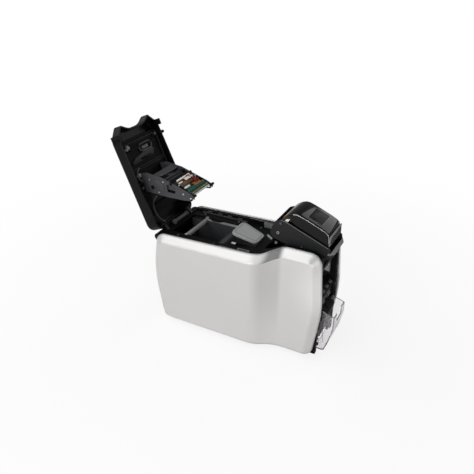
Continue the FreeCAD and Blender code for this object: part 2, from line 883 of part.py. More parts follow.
deck = deck.fuse(prism_x(bridge, s.rim_depth - s.rear_half, s.rear_half - s.rim_depth))
web_shares = [(0.824, 1), (0, 0.55), (0, 0), (0.294, 0), (1, 0.753)]
web = outline(web_shares, (s.hinge_y - s.web_run, s.deck_low), (s.hinge_y + s.web_lip, s.hinge_z + s.knuckle_radius))
knuckle_in = s.knuckle_out - s.knuckle_wide
knuckle = prism_x(web, knuckle_in, s.knuckle_out)
knuckle = knuckle.fuse(rod_x(s.hinge_y, s.hinge_z, s.knuckle_radius, knuckle_in, s.knuckle_out))
knuckle = knuckle.cut(through_x(s.hinge_y, s.hinge_z, s.pin_radius))
feature("deck_frame", deck.fuse(knuckle).fuse(mirrored(knuckle)))

# Lid, drawn shut and then swung open about its hinge

LID_INSET_SHARES = (0.38, 0.18, 1.31, 0.3)


def lid_plan(inset):
    """The lid from above: square rear, tapered front corners and a notch between two horns."""
    half, rear_y = s.lid_half - inset, s.lid_rear - inset
    cheek, horn_in, horn_back, notch_out = (share * inset for share in LID_INSET_SHARES)
    right = [(half, rear_y), (half, -s.lid_front + cheek), (s.horn_half - horn_in, -s.horn_reach + horn_back),
             (s.notch_half + notch_out, -s.notch_reach + inset)]
    radii = [s.lid_corner, s.lid_cheek, s.horn_round, s.notch_round]
    return rounded(right + flipped(right), radii + radii[::-1])


def lid_form(inset):
    """The lid's solid form, drawn in by inset, with its foot on the casing's sloping top."""
    form = prism_z(lid_plan(inset), s.deck_floor - s.over - inset, s.lid_top - inset)
    if not inset:
        level = s.top_mid + s.lid_lift
        foot = [(LONG, s.top_rear + s.lid_lift - s.lid_fall), (LONG, 0), (-LONG, 0), (-LONG, level),
                (-s.step_rear, level)]
        form = form.cut(prism_x(polygon(foot), -LONG, LONG))
    top = [e for e in form.Edges if e.BoundBox.ZMin > s.lid_top - inset - s.run_gap
           and not (abs(e.CenterOfMass.x) < s.horn_half - s.wall and e.CenterOfMass.y < 0)]
    return form.makeFillet(s.lid_round - inset, top)


lid = lid_form(0).cut(lid_form(s.lid_wall))
relief = block(knuckle_in - s.side_gap, s.knuckle_out + s.side_gap, s.hinge_y - s.relief_run, LONG, 0,
               s.hinge_z + s.relief_rise)
lid = lid.cut(relief).cut(mirrored(relief))
lid_under = s.lid_top - s.lid_wall
ear = rounded([(s.hinge_y - s.ear_half, s.hinge_z - s.ear_half), (s.hinge_y + s.ear_half, s.hinge_z - s.ear_half),
               (s.hinge_y + s.ear_half, lid_under), (s.hinge_y - s.ear_run, lid_under)],
              [s.ear_round, s.ear_round, 0, 0])
ear_in = s.knuckle_out + s.side_gap
ear = prism_x(ear, ear_in, ear_in + s.ear_wide).cut(through_x(s.hinge_y, s.hinge_z, s.pin_radius + s.run_gap))
lug_out = s.lid_half - s.lid_wall + s.lug_sink
lug = block(lug_out - s.lug_wide, lug_out, -s.lug_front, -s.lug_front + s.lug_long, s.deck_floor + s.lug_lift, lid_under)
for held in (ear, mirrored(ear), lug, mirrored(lug)):
    lid = lid.fuse(held)
feature("lid_shell", lid, OPEN_LID)

liner = Piece("lid_liner", OPEN_LID)
liner.add("XY", "liner_low", "liner_thick", ("-liner_half", "liner_half", "liner_front", "hinge_y-liner_run"))
for left, right in (("-liner_half", "-liner_half+liner_thick"), ("liner_half-liner_thick", "liner_half")):
    liner.add("XY", "liner_low", "lid_top-lid_wall-liner_low", (left, right, "liner_front", "hinge_y-liner_run"))
liner.add("XY", "liner_low-rib_deep", "rib_deep",
          ("-arm_half-rib_deep", "arm_half+rib_deep", "rib_y", "rib_y+rib_thick"))
liner.cut("XY", "liner_low", "liner_thick", ("-head_window", "head_window", "window_front", "window_rear"))
liner.add("XZ", "-ridge_y", "ridge_thick", ("0", "liner_level+ridge_rise", "ridge_radius"))
liner.cut("XZ", "-ridge_y", "ridge_thick",
          ("-ridge_radius*2", "ridge_radius*2", "liner_level", "liner_level+ridge_radius*2"))

pins = Piece("hinge_pins")
for start in ("knuckle_out-knuckle_wide", "-knuckle_out-side_gap*2-ear_wide"):
    pins.add("YZ", start, "knuckle_wide+side_gap*2+ear_wide", ("hinge_y", "hinge_z", "pin_radius"))

# Print head, drawn in the shut lid along its own slope

ROOT = V(0, s.arm_root_y, s.arm_root_z)
TIP = V(0, s.arm_tip_y, s.arm_tip_z)
ARM_LONG = (TIP - ROOT).Length
DOWN = (TIP - ROOT).normalize()
OUT = V(0, DOWN.z, -DOWN.y)


def on_head(along, out):
    """A point in Y and Z, along the head's slope and out towards the front."""
    here = ROOT + DOWN * along + OUT * out
    return (here.y, here.z)


def head_outline(shares, low, high, soft):
    """An outline of shares of a box along the head's slope and out from it."""
    return rounded([on_head(*point) for point in spread(shares, low, high)], [soft * row[2] for row in shares])


def head_bar(start, end, inner, outer, half):
    """A bar across the head between two distances along its slope and two out from it."""
    corners = [on_head(start, inner), on_head(end, inner), on_head(end, outer), on_head(start, outer)]
    return prism_x(polygon(corners), -half, half)


arm_shares = [(0.437, -1.16, 1), (0.848, -0.65, 0.3), (1.019, -0.3, 0.2), (1.019, 0.1, 0.3), (0.867, 0.3, 0.8),
              (0.285, 0.6, 1.2), (-0.067, 0.427, 0.6)]
notch_shares = [(1.114, -0.15, 0), (0.924, -0.15, 1), (0.924, -0.375, 1), (1.114, -0.375, 0)]
window_shares = [(0.4, 0.2, 1), (0.609, 0.2, 1), (0.609, -0.45, 1), (0.438, -0.6, 1)]
arm_box = ((0, 0), (ARM_LONG, s.arm_deep))
root = [(ROOT.y - s.arm_lead, s.liner_low), (ROOT.y + s.arm_trail, s.liner_low)]
arm = rounded(root + [on_head(*point) for point in spread(arm_shares, *arm_box)],
              [0, 0] + [s.arm_round * row[2] for row in arm_shares])
arm_in = s.arm_half - s.arm_thick
arm_form = prism_x(arm, arm_in, s.arm_half)
arm_form = arm_form.cut(prism_x(head_outline(notch_shares, *arm_box, s.notch_soft), 0, s.lid_half))
arm_form = arm_form.cut(prism_x(head_outline(window_shares, *arm_box, s.window_soft), 0, s.lid_half))
pivot = on_head(s.head_pivot_along, -s.head_pivot_in)
arm_form = arm_form.cut(through_x(*pivot, s.head_pin - s.run_gap))
feature("head_arms", Part.makeCompound([mirrored(arm_form), arm_form]), OPEN_LID)
cross = head_bar(s.brace_along, s.brace_along + s.brace_wide, s.brace_out - s.brace_thick, s.brace_out, arm_in)
upper_rear = ROOT.y + s.arm_trail - s.liner_thick
upper = block(-arm_in, arm_in, upper_rear - s.brace_wide, upper_rear, s.liner_low - s.brace_thick, s.liner_low)
feature("arm_cross_braces", Part.makeCompound([cross, upper]), OPEN_LID)

# Head carrier: a frame with turned-down sides, on a shaft between the arms
frame_in = s.frame_out - s.frame_thick
frame = head_bar(s.frame_along, s.frame_end, frame_in, s.frame_out, s.head_half)
frame = frame.cut(head_bar(s.frame_along + s.frame_bar, s.frame_end - s.frame_tail, -s.arm_deep, s.arm_deep,
                           s.head_half - s.frame_rail))
cheek_shares = [(0, 1, 1), (1, 1, 0), (0.974, 0.538, 1), (0.487, 0.308, 3), (0.026, 0, 2)]
cheek = head_outline(cheek_shares, (s.frame_along - s.cheek_lead, s.frame_out - s.cheek_deep),
                     (s.frame_end, s.frame_out), s.cheek_soft)
side_plate = prism_x(cheek, s.head_half - s.cheek_plate, s.head_half)
frame = frame.fuse(side_plate).fuse(mirrored(side_plate)).cut(through_x(*pivot, s.head_pin))
feature("head_carrier", frame, OPEN_LID)
feature("head_shaft", rod_x(*pivot, s.head_pin - s.run_gap, -s.arm_half, s.arm_half), OPEN_LID)
board_end = s.frame_end - s.head_board_gap
board_start = board_end - s.head_board_long
feature("head_circuit_board", head_bar(board_start, board_end, s.frame_out, s.frame_out + s.head_board_thick,
                                       s.head_half), OPEN_LID)
strip_end = s.frame_end + s.strip_proud
strip_half = s.head_half - s.cheek_plate
strip = head_bar(s.frame_end, strip_end, frame_in - s.strip_step, s.frame_out, strip_half)
strip = strip.fuse(head_bar(s.frame_end - s.strip_lap, s.frame_end, frame_in - s.strip_step, frame_in, strip_half))
feature("heating_strip", strip, OPEN_LID)
sink_half = s.head_half - s.sink_margin
fin_foot = s.frame_out + s.sink_thick
fins = head_bar(s.sink_along, s.sink_along + s.sink_long, s.frame_out, fin_foot, sink_half)
beside_plug = block(-LONG, -s.fin_end, -LONG, LONG, 0, TALL)
for i in range(int(s.sink_long / s.fin_pitch)):
    along = s.sink_along + s.fin_pitch * (i + 0.25)
    fin = head_bar(along, along + s.fin_thick, fin_foot, fin_foot + s.fin_high, sink_half)
    fins = fins.fuse(fin.common(beside_plug))
feature("head_heat_sink", fins, OPEN_LID)
plug_shares = [(0, 0, 0), (1, 0, 0), (1, 1, 1), (0, 1, 1)]
plug = head_outline(plug_shares, (s.plug_along, fin_foot), (s.plug_along + s.plug_long, fin_foot + s.plug_high),
                    s.plug_round)
feature("head_connector", prism_x(plug, 0, s.head_half - s.plug_margin), OPEN_LID)
cable_low = fin_foot + s.cable_lift
cable_end = s.cable_along + s.cable_long
cable_drop = s.cable_lift * 2
cable = [(s.cable_along, cable_low), (cable_end, cable_low), (cable_end + s.cable_droop, cable_low - cable_drop),
         (cable_end + s.cable_droop, cable_low + s.cable_thick - cable_drop), (cable_end, cable_low + s.cable_thick),
         (s.cable_along, cable_low + s.cable_thick)]
feature("head_flat_cable", prism_x(polygon([on_head(*point) for point in cable]), s.cable_in,
                                   s.head_half - s.frame_rail), OPEN_LID)

# Card feeder, drawn level and then swung up at its rear
cradle_shares = [(1, 0, 6), (1, 0.736, 4), (0.903, 1, 6), (0.064, 1, 2.5), (0, 0.644, 3.5), (0.064, 0.264, 4),
                 (0.225, 0.15, 15)]
feeder_box = ((-s.feeder_front, s.feeder_low), (-s.feeder_rear, s.feeder_top))
cradle_in = s.feeder_half - s.feeder_wall
tray_in = prism_x(outline(cradle_shares, *feeder_box, s.feeder_round), -cradle_in, cradle_in, s.feeder_wall)
open_shares = [(1, 0), (1, 1), (0.064, 1), (0, 0)]
open_rear = (-s.feeder_rear - s.feeder_wall, s.hood_top)
open_top = outline(open_shares, (-s.feeder_front + s.feeder_wall, s.feeder_top - s.feeder_round * 6), open_rear)
cradle = prism_x(outline(cradle_shares, *feeder_box, s.feeder_round), -s.feeder_half, s.feeder_half)
cradle = cradle.cut(tray_in)
lid_side = prism_x(open_top, -cradle_in, cradle_in).common(slice_box(-LONG, LONG, s.feeder_z, TALL))
cradle = cradle.cut(lid_side)
cradle = cradle.cut(block(-s.pick_open_half, s.pick_open_half, -s.pick_y - s.pick_open_run,
                          -s.pick_y + s.pick_open_run, 0, s.feeder_low + s.pick_open_rise))
outlet_low = s.feeder_low + s.outlet_lift
cradle = cradle.cut(block(-s.outlet_half, s.outlet_half, -s.feeder_rear - s.outlet_run, LONG, outlet_low,
                          outlet_low + s.outlet_high))
cradle = cradle.cut(through_x(-s.feeder_y, s.feeder_z, s.feeder_pin + s.run_gap))
cradle = cradle.cut(through_x(-s.hood_pivot_y, s.hood_pivot_z, s.hood_pin))
feature("feeder_cradle", cradle, OPEN_FEEDER)
lip_shares = [(1, 1, 1), (1, 0.75, 1), (0.824, 0, 6), (0.176, 0, 6), (0, 0.75, 1), (0, 1, 1)]
lip_front = -s.feeder_front - s.lip_reach
lip_low = s.feeder_z + s.lip_lift
lip = prism_z(outline(lip_shares, (-s.lip_half, lip_front), (s.lip_half, lip_front + s.lip_deep), s.lip_round),
              lip_low, lip_low + s.lip_thick)
lip = lip.cut(cradle).cut(tray_in).cut(lid_side)
feature("feeder_lip", max(lip.Solids, key=lambda solid: solid.Volume), OPEN_FEEDER)

# Feeder's hood, a curved cover with side windows and two legs on its pins


def soft_top(form, half, radius):
    """The hood's form with its long upper edges rounded."""
    edges = [e for e in form.Edges if abs(abs(e.CenterOfMass.x) - half) < s.run_gap
             and e.BoundBox.ZMin > s.hood_low + s.hood_deep / 3]
    return form.makeFillet(radius, edges)


hood_shares = [(1, 0, 1), (0.869, 1, 4.5), (0.071, 1, 3.5), (0, 0.432, 1), (0, 0.297, 0.5), (0.717, 0.297, 1.5)]
inside_shares = [(1, -0.142, 0), (0.869, 1, 3.5), (0.041, 1, 2.5), (-0.093, 0.455, 0), (-0.093, 0.142, 0),
                 (0.73, -0.142, 0)]
gap_shares = [(0.949, 0.189, 1), (0.869, 0.757, 1), (0.727, 0.73, 1), (0.808, 0.405, 1)]
leg_shares = [(0.99, -0.054, 2.5), (0.99, 0.189, 0), (0.758, 0.351, 0), (0.859, -0.081, 3)]
face_shares = [(0.061, 0.919, 0), (0, 0.432, 0), (-0.02, 0.432, 0), (0.04, 0.946, 0.5)]
hood_box = ((-s.hood_front, s.hood_low), (-s.hood_rear, s.hood_top))
inside_box = ((-s.hood_front, s.hood_low), (-s.hood_rear - s.hood_wall, s.hood_top - s.hood_wall))
hood_in = s.hood_half - s.hood_wall
hood = prism_x(outline(hood_shares, *hood_box, s.hood_edge), -s.hood_half, s.hood_half)
hood = soft_top(hood, s.hood_half, s.hood_round)
hood = hood.cut(prism_x(outline(inside_shares, *inside_box, s.hood_edge), -hood_in, hood_in))
gap = prism_x(outline(gap_shares, *hood_box, s.hood_edge), hood_in - s.side_gap, s.lid_half)
leg = prism_x(outline(leg_shares, *hood_box, s.hood_edge), hood_in, s.hood_half)
hood = hood.cut(gap).cut(mirrored(gap)).fuse(leg).fuse(mirrored(leg))
hood = hood.cut(through_x(-s.hood_pivot_y, s.hood_pivot_z, s.hood_pin + s.run_gap))
feature("feeder_hood", hood, OPEN_FEEDER)
hood_pins = Piece("hood_pins", OPEN_FEEDER)
for start in ("hood_half-hood_wall-pin_sink", "-feeder_half-pin_sink"):
    hood_pins.add("YZ", start, "feeder_half-hood_half+hood_wall+pin_sink*2",
                  ("-hood_pivot_y", "hood_pivot_z", "hood_pin"))
face_half = s.hood_half - s.side_gap
face_frame = prism_x(outline(face_shares, *hood_box, s.hood_edge), -face_half, face_half).cut(hood)
feature("hood_front_face", max(face_frame.Solids, key=lambda solid: solid.Volume), OPEN_FEEDER)

# Front posts that carry the feeder, each with an inward hook
post_out = s.post_in + s.post_wide
post_rear = -s.post_front + s.post_deep
post = block(s.post_in, post_out, -s.post_front, post_rear, s.post_low, s.feeder_z + s.post_proud)
post = post.fuse(block(s.post_in, post_out, -s.post_front, -s.tray_front, s.post_low, s.post_low + s.post_foot))
post = post.cut(through_x(-s.feeder_y, s.feeder_z, s.feeder_pin))
hook_shares = [(1, 0, 0), (1, 0.556, 0), (0.571, 0.556, 2), (0.214, 1, 1), (0, 0.944, 1), (0.286, 0.333, 5)]
hook = outline(hook_shares, (s.post_in - s.hook_reach, s.hook_low), (s.post_in + s.hook_sink, s.hook_low + s.hook_high),
               s.hook_round)
prong = prism_z(hook, 0, s.hook_thick)
prong.rotate(V(0, 0, 0), V(1, 0, 0), 90)
prong.translate(V(0, -s.post_front + s.hook_set, 0))
post = post.fuse(prong)
beam = block(-s.post_in, s.post_in, -s.post_front, -s.post_front + s.beam_deep, s.feeder_low,
             s.feeder_low + s.beam_high)
front = post.fuse(mirrored(post)).fuse(beam)
pin_end = s.post_in + s.pin_proud
front = front.cut(rod_x(-s.hopper_pin_y, s.hopper_pin_z, s.hopper_pin, -pin_end, pin_end))
feature("front_frame", front)
feeder_pins = Piece("feeder_pivot_pins")
for start in ("feeder_half-feeder_wall-pin_sink", "-post_in-post_wide"):
    feeder_pins.add("YZ", start, "post_in+post_wide-feeder_half+feeder_wall+pin_sink",
                    ("-feeder_y", "feeder_z", "feeder_pin"))

# Card exit between the posts, with its chute and the hopper's back plate
exit_shares = [(0, 0, 1), (1, 0, 1), (1, 0.827, 1), (0.543, 1, 2.7), (0, 0.865, 1.3)]
mouth = prism_x(outline(exit_shares, (-s.exit_front, s.exit_low), (-s.exit_rear, s.exit_high), s.exit_round),
                -s.post_in, s.post_in)
cheek_in = s.post_in - s.cheek_thick
mouth = mouth.cut(block(-cheek_in, cheek_in, -LONG, LONG, 0, s.exit_high - s.exit_roof))
shelf_front = -s.exit_rear - s.shelf_run
shelf_low = s.card_level - s.shelf_drop
for low, thick in ((shelf_low, s.shelf_thick), (s.exit_low, s.wall)):
    mouth = mouth.fuse(block(-s.post_in, s.post_in, shelf_front, -s.exit_rear, low, low + thick))
chute_shares = [(1, 1, 0), (0.412, 1, 1), (0, 0.122, 0.3), (0.082, 0, 0.3), (0.475, 0.831, 0.7), (1, 0.831, 0)]
chute = prism_x(outline(chute_shares, (-s.exit_front - s.chute_reach, s.chute_top - s.chute_lip),
                        (shelf_front, s.chute_top), s.exit_round), -s.chute_half, s.chute_half)
chute = chute.fuse(block(-s.post_in, s.post_in, shelf_front - s.chute_bar, shelf_front,
                         s.chute_top - s.chute_web, s.chute_top))
mouth = mouth.fuse(chute)
mouth = mouth.fuse(block(-s.post_in, s.post_in, shelf_front, shelf_front + s.wall, s.exit_low, s.chute_top))
mouth = mouth.cut(through_x(-s.exit_y, s.low_z, s.shaft_radius + s.run_gap))
feature("card_exit", mouth)
back_shares = [(0, 0.991, 1), (0.82, 0, 1), (1, 0.007, 1), (0.205, 1, 1)]
back_front = -s.exit_front - s.over
back = prism_x(outline(back_shares, (back_front, s.back_low), (back_front + s.back_lean, s.exit_low), s.back_round),
               -s.back_half, s.back_half)
tab = block(-s.back_half, s.back_half, back_front + s.pin_sink, shelf_front + s.shelf_run / 2,
            s.exit_low - s.back_tab, s.exit_low)
feature("hopper_back_plate", back.fuse(tab))

# Clear output hopper on two pins
hopper_shares = [(0.69, 1, 0.25), (0, 0.912, 0.75), (0, 0.68, 15), (0.211, 0.271, 15), (0.451, 0, 1.5), (0.944, 0, 1),
                 (1, 0.149, 5), (0.803, 0.812, 5)]
hollow_shares = [(0.97, 1.215, 0), (0, 1.215, 0), (0, 0.672, 14.5), (0.224, 0.254, 14.5), (0.463, 0, 1),
                 (1.27, 0, 0), (1.27, 0.537, 0)]
hopper_in = s.hopper_half - s.hopper_wall
hopper = prism_x(outline(hopper_shares, (-s.hopper_front, s.hopper_low), (-s.hopper_rear, s.hopper_high),
                         s.hopper_round), -s.hopper_half, s.hopper_half)
hopper = hopper.cut(prism_x(outline(hollow_shares, (-s.hopper_front + s.hopper_wall, s.hopper_low + s.hopper_wall),
                                    (-s.hopper_rear, s.hopper_high), s.hopper_round), -hopper_in, hopper_in))
finger_shares = [(0, 0, 0), (1, 0, 0), (0.833, 1, 1), (0.167, 1, 1)]
finger = outline(finger_shares, (-s.finger_half, -s.hopper_front - s.over),
                 (s.finger_half, -s.hopper_front + s.finger_run), s.finger_round)
hopper = hopper.cut(prism_z(finger, s.finger_low, TALL))
hopper = hopper.cut(through_x(-s.hopper_pin_y, s.hopper_pin_z, s.hopper_pin + s.run_gap))
feature("output_hopper", hopper)
hopper_pins = Piece("hopper_pins")
for start in ("hopper_half-hopper_wall-pin_sink", "-post_in-pin_proud"):
    hopper_pins.add("YZ", start, "post_in+pin_proud-hopper_half+hopper_wall+pin_sink",
                    ("-hopper_pin_y", "hopper_pin_z", "hopper_pin"))

# Chassis plates, with bearings for the rollers
plate_shares = [1, 1, 1, 1, 0.5, 0.5, 0.5, 1]
plate = rounded([(-s.plate_front, s.plate_low), (s.recess_rear - s.plate_cut, s.plate_low),
                 (s.recess_rear, s.plate_low + s.plate_cut), (s.recess_rear, s.plate_high),
                 (-s.pick_y + s.pick_slot + s.plate_slope, s.plate_high),
                 (-s.pick_y + s.pick_slot, s.plate_high + s.plate_horn),
                 (-s.pick_y - s.pick_slot, s.plate_high + s.plate_horn),
                 (-s.plate_front, s.plate_high - s.plate_nick)], [s.plate_round * share for share in plate_shares])
plate_form = prism_x(plate, s.plate_in, s.plate_in + s.plate_thick)
for y in (s.platen_y, s.print_y, s.clean_y, -s.feed_y):
    plate_form = plate_form.cut(through_x(y, s.low_z, s.shaft_radius + s.run_gap))
plate_form = plate_form.cut(through_x(-s.pick_y, s.pick_z, s.shaft_radius + s.run_gap))
for y in (s.print_y, -s.feed_y):
    plate_form = plate_form.cut(through_x(y, s.pinch_z, s.pinch_shaft + s.run_gap))
for shares in ((0.063, 0.345), (0.415, 0.592), (0.697, 0.94)):
    y0, y1 = ((s.plate_front + s.recess_rear) * share - s.plate_front for share in shares)
    hole = rounded([(y0, s.window_low), (y1, s.window_low), (y1, s.window_high), (y0, s.window_high)],
                   [s.window_round] * 4)
    plate_form = plate_form.cut(prism_x(hole, 0, LONG))
feature("left_chassis_plate", mirrored(plate_form))
plate_form = plate_form.cut(through_x(s.print_y, s.motor_z, s.motor_hub))
for y, z in ((s.supply_y, s.supply_z), (s.take_up_y, s.take_up_z)):
    plate_form = plate_form.cut(through_x(y, z, s.hub_pin + s.run_gap))
feature("right_chassis_plate", plate_form)

# Rubber rollers on their shafts, running between the chassis plates
for label, y in (("platen_roller", "platen_y"), ("print_roller", "print_y"), ("cleaning_transport_roller", "clean_y"),
                 ("feed_roller", "-feed_y")):
    made = Piece(label)
    made.add("YZ", "-plate_in-plate_thick-shaft_proud", "(plate_in+plate_thick+shaft_proud)*2+belt_reach",
             (y, "low_z", "shaft_radius-run_gap"))
    made.add("YZ", "-roller_half", "roller_half*2", (y, "low_z", "roller_radius-pinch_gap"))
    made.add("YZ", "belt_in", "belt_wide", (y, "low_z", "pulley_radius"))
exit_roller = Piece("exit_roller")
exit_roller.add("YZ", "-post_in", "post_in*2", ("-exit_y", "low_z", "shaft_radius"))
for start in ("-tyre_out", "tyre_out-exit_tyre"):
    exit_roller.add("YZ", start, "exit_tyre", ("-exit_y", "low_z", "roller_radius-pinch_gap"))
pick = Piece("pick_roller")
pick.add("YZ", "-plate_in-plate_thick-pin_sink", "(plate_in+plate_thick+pin_sink)*2", ("-pick_y", "pick_z", "shaft_radius"))
pick.add("YZ", "-pick_half", "pick_half*2", ("-pick_y", "pick_z", "pick_radius"))
for label, y in (("print_pinch_roller", "print_y"), ("feed_pinch_roller", "-feed_y")):
    made = Piece(label)
    made.add("YZ", "-plate_in-plate_thick", "(plate_in+plate_thick)*2", (y, "pinch_z", "pinch_shaft"))
    made.add("YZ", "-roller_half", "roller_half*2", (y, "pinch_z", "pinch_radius"))

# Toothed belt round the transport pulleys


def stadium(radius):
    """Outline round the end pulleys."""
    y0, y1 = -s.feed_y, s.platen_y
    low, high = s.low_z - radius, s.low_z + radius
    return [Part.LineSegment(V(y0, low, 0), V(y1, low, 0)),
            Part.Arc(V(y1, low, 0), V(y1 + radius, s.low_z, 0), V(y1, high, 0)),
            Part.LineSegment(V(y1, high, 0), V(y0, high, 0)),
            Part.Arc(V(y0, high, 0), V(y0 - radius, s.low_z, 0), V(y0, low, 0))]


belt_inner = s.pulley_radius + s.pinch_gap
belt = prism_x(stadium(belt_inner + s.belt_thick), s.belt_in, s.belt_in + s.belt_wide)
feature("transport_belt", belt.cut(prism_x(stadium(belt_inner), 0, LONG)))

# Gear and pinion that drive the rollers, and the motor

TOOTH_SHARES = ((-0.30, -1.15), (-0.13, 0.9), (0.13, 0.9), (0.30, -1.15))


def spur(teeth, y, z, turn):
    """A spur gear with straight-sided teeth."""
    pitch = s.gear_module * teeth / 2
    points = []
    for i in range(int(teeth)):
        for across, out in TOOTH_SHARES:
            radius = pitch + s.gear_module * out
            angle = 2 * math.pi * (i + across) / teeth + turn
            points.append((y + radius * math.cos(angle), z + radius * math.sin(angle)))
    return prism_x(polygon(points), s.gear_x, s.gear_x + s.gear_wide)


gear = spur(s.gear_teeth, s.print_y, s.low_z, 0).cut(through_x(s.print_y, s.low_z, s.shaft_radius - s.run_gap))
for i in range(5):
    angle = 2 * math.pi * (i + 0.5) / 5
    gear = gear.cut(through_x(s.print_y + s.gear_hole_out * math.cos(angle),
                              s.low_z + s.gear_hole_out * math.sin(angle), s.gear_hole))
feature("drive_gear", gear)
pinion = spur(s.pinion_teeth, s.print_y, s.motor_z, math.pi / 2 + math.pi / s.pinion_teeth)
feature("motor_pinion", pinion.fuse(rod_x(s.print_y, s.motor_z, s.motor_shaft, s.plate_in - s.shaft_in,
                                          s.gear_x + s.gear_wide)))
motor = Piece("drive_motor")
motor.add("YZ", "plate_in-motor_long", "motor_long",
          ("print_y-motor_half", "print_y+motor_half", "motor_z-motor_half", "motor_z+motor_half"))
motor.cut("YZ", "plate_in-motor_bore", "motor_bore", ("print_y", "motor_z", "motor_shaft+run_gap"))
motor.ease("Chamfer", "motor_soft", lambda edge: edge.BoundBox.XLength > s.motor_half)

# Main board on the left plate
board = Piece("main_circuit_board")
board.add("YZ", "-board_x", "board_thick",
          ("-board_front", "-board_front+board_long", "board_low", "board_low+board_tall"))
for y in ("-board_front+board_inset", "-board_front+board_long-board_inset"):
    for z in ("board_low+spacer_inset", "board_low+board_tall-spacer_inset"):
        board.add("YZ", "-board_x+board_thick", "board_off", (y, z, "spacer_radius"))
CHIP_SHARES = ((0.229, 0.343, 0.316, 0.632), (0.462, 0.529, 0.539, 0.671), (0.624, 0.71, 0.211, 0.368),
               (0.795, 0.843, 0.539, 0.829), (0.076, 0.152, 0.145, 0.539))
chips = Piece("board_chips")
for front_share, rear_share, low_share, high_share in CHIP_SHARES:
    chips.add("YZ", "-board_x-chip_high", "chip_high",
              ("board_long*%s-board_front" % front_share, "board_long*%s-board_front" % rear_share,
               "board_tall*%s+board_low" % low_share, "board_tall*%s+board_low" % high_share))

# Sockets and switch in the rear cover


def sides(label, gap):
    """The four sides of a socket drawn in by gap, as expressions."""
    return ("{0}_x-{0}_wide/2+({1})".format(label, gap), "{0}_x+{0}_wide/2-({1})".format(label, gap),
            "socket_z-{0}_high/2+({1})".format(label, gap), "socket_z+{0}_high/2-({1})".format(label, gap))


for label in ("power", "network", "usb"):
    made = Piece(label + "_socket")
    made.add("XZ", "-socket_rear", "socket_long", sides(label, "socket_gap"))
    made.cut("XZ", "-socket_rear", "mouth_deep", sides(label, "socket_gap+socket_wall"))
    if label == "power":
        made.add("XZ", "-socket_rear+socket_long-prong_long", "prong_long", ("power_x", "socket_z", "prong_radius"))


def switch_box(gap, front, rear):
    """A box round the switch's place, drawn in by gap."""
    wide, high = s.rocker_wide / 2 - gap, s.rocker_high / 2 - gap
    return block(s.rocker_x - wide, s.rocker_x + wide, front, rear, s.socket_z - high, s.socket_z + high)


case_rear = s.rear_reach - s.case_proud
case = switch_box(s.socket_gap, case_rear - s.case_long, case_rear)
case = case.cut(switch_box(s.socket_gap + s.socket_wall, case_rear - s.case_deep, LONG))
feature("power_switch_case", case)
rocker_y = s.rear_reach - s.rocker_inset
rocker_shares = [(0, 0, 1), (0.839, 0, 1), (0.632, 0.5, 12), (1, 1, 1), (0, 1, 1)]
rocker = outline(rocker_shares, (rocker_y - s.core_gap, s.socket_z - s.rocker_half),
                 (rocker_y + s.rocker_swing - s.core_gap, s.socket_z + s.rocker_half), s.rocker_round)
rocker_side = s.rocker_wide / 2 - s.socket_wall - s.socket_gap * 3
rock = prism_x(rocker, s.rocker_x - rocker_side, s.rocker_x + rocker_side)
feature("power_rocker", rock.common(through_x(rocker_y, s.socket_z, s.rocker_swing)))

# Fan behind the vents
fan = Piece("fan_frame")
fan.add("XZ", "-fan_rear", "fan_deep", ("-fan_half", "fan_half", "fan_z-fan_half", "fan_z+fan_half"))
fan.cut("XZ", "-fan_rear", "fan_deep", ("0", "fan_z", "fan_radius"))
fan.add("XZ", "-fan_rear+fan_deep-fan_spoke", "fan_spoke",
        ("-fan_spoke", "fan_spoke", "fan_z-fan_half+core_gap", "fan_z+fan_half-core_gap"))
fan.add("XZ", "-fan_rear+fan_deep-fan_spoke", "fan_spoke", ("0", "fan_z", "fan_hub+side_gap"))
blade_front = s.fan_spoke + s.blade_gap
rotor_deep = s.fan_deep - blade_front - s.blade_gap + s.fit_gap
rotor = rod_x(0, 0, s.fan_hub, 0, rotor_deep)
for i in range(7):
    blade = block(s.blade_gap, rotor_deep - s.blade_gap, s.fan_hub - s.blade_thick,
                  s.fan_radius - s.blade_gap - s.fit_gap, -s.blade_thick / 2, s.blade_thick / 2)
    blade.rotate(V(rotor_deep / 2, 0, 0), V(0, 1, 0), s.blade_turn)
    blade.rotate(V(0, 0, 0), V(1, 0, 0), 360 / 7 * i)
    rotor = rotor.fuse(blade)
rotor.rotate(V(0, 0, 0), V(0, 0, 1), 90)
rotor.translate(V(0, s.fan_rear - s.fan_deep + blade_front, s.fan_z))
feature("fan_rotor", rotor)

# Ribbon bay: a moulded tub under a light frame, with a dip for the ribbon's core
floor_shares = [(0, 1, 0), (0, 0.57, 1.8), (0.097, 0.342, 1.4), (0.306, 0.315, 1.4), (0.484, 0.208, 2), (0.694, 0, 0)]
return_shares = [(0.694, 0.034, 0), (0.496, 0.238, 2), (0.315, 0.342, 1.2), (0.105, 0.374, 1.2), (0.016, 0.584, 1.6),
                 (0.016, 1, 0)]
end_shares = [(1, 0.087, 0), (1, 1, 0)]
tub_box = ((s.bay_front, s.bay_low), (s.recess_rear - s.tub_wall, s.tub_top))
tub_half = s.bay_half + s.tub_wall
tub = prism_x(outline(floor_shares + return_shares, *tub_box, s.tub_soft), -tub_half, tub_half)
tub_side = prism_x(outline(floor_shares + end_shares, *tub_box, s.tub_soft), s.bay_half, tub_half)
for y, z in ((s.supply_y, s.supply_z), (s.take_up_y, s.take_up_z)):
    tub_side = tub_side.cut(through_x(y, z, s.hub_hole))
feature("ribbon_bay_tub", tub.fuse(tub_side).fuse(mirrored(tub_side)))
rail_shares = [(0, 0, 0), (1, 0, 0), (1, 1, 1), (0.891, 1, 1.5), (0.804, 0.333, 1.5), (0.652, 0.333, 1.5),
               (0.543, 1, 1.5), (0, 1, 1)]
bar_low = s.bar_top - s.bar_deep
bar_rear = s.bar_middle + s.bar_wide / 2
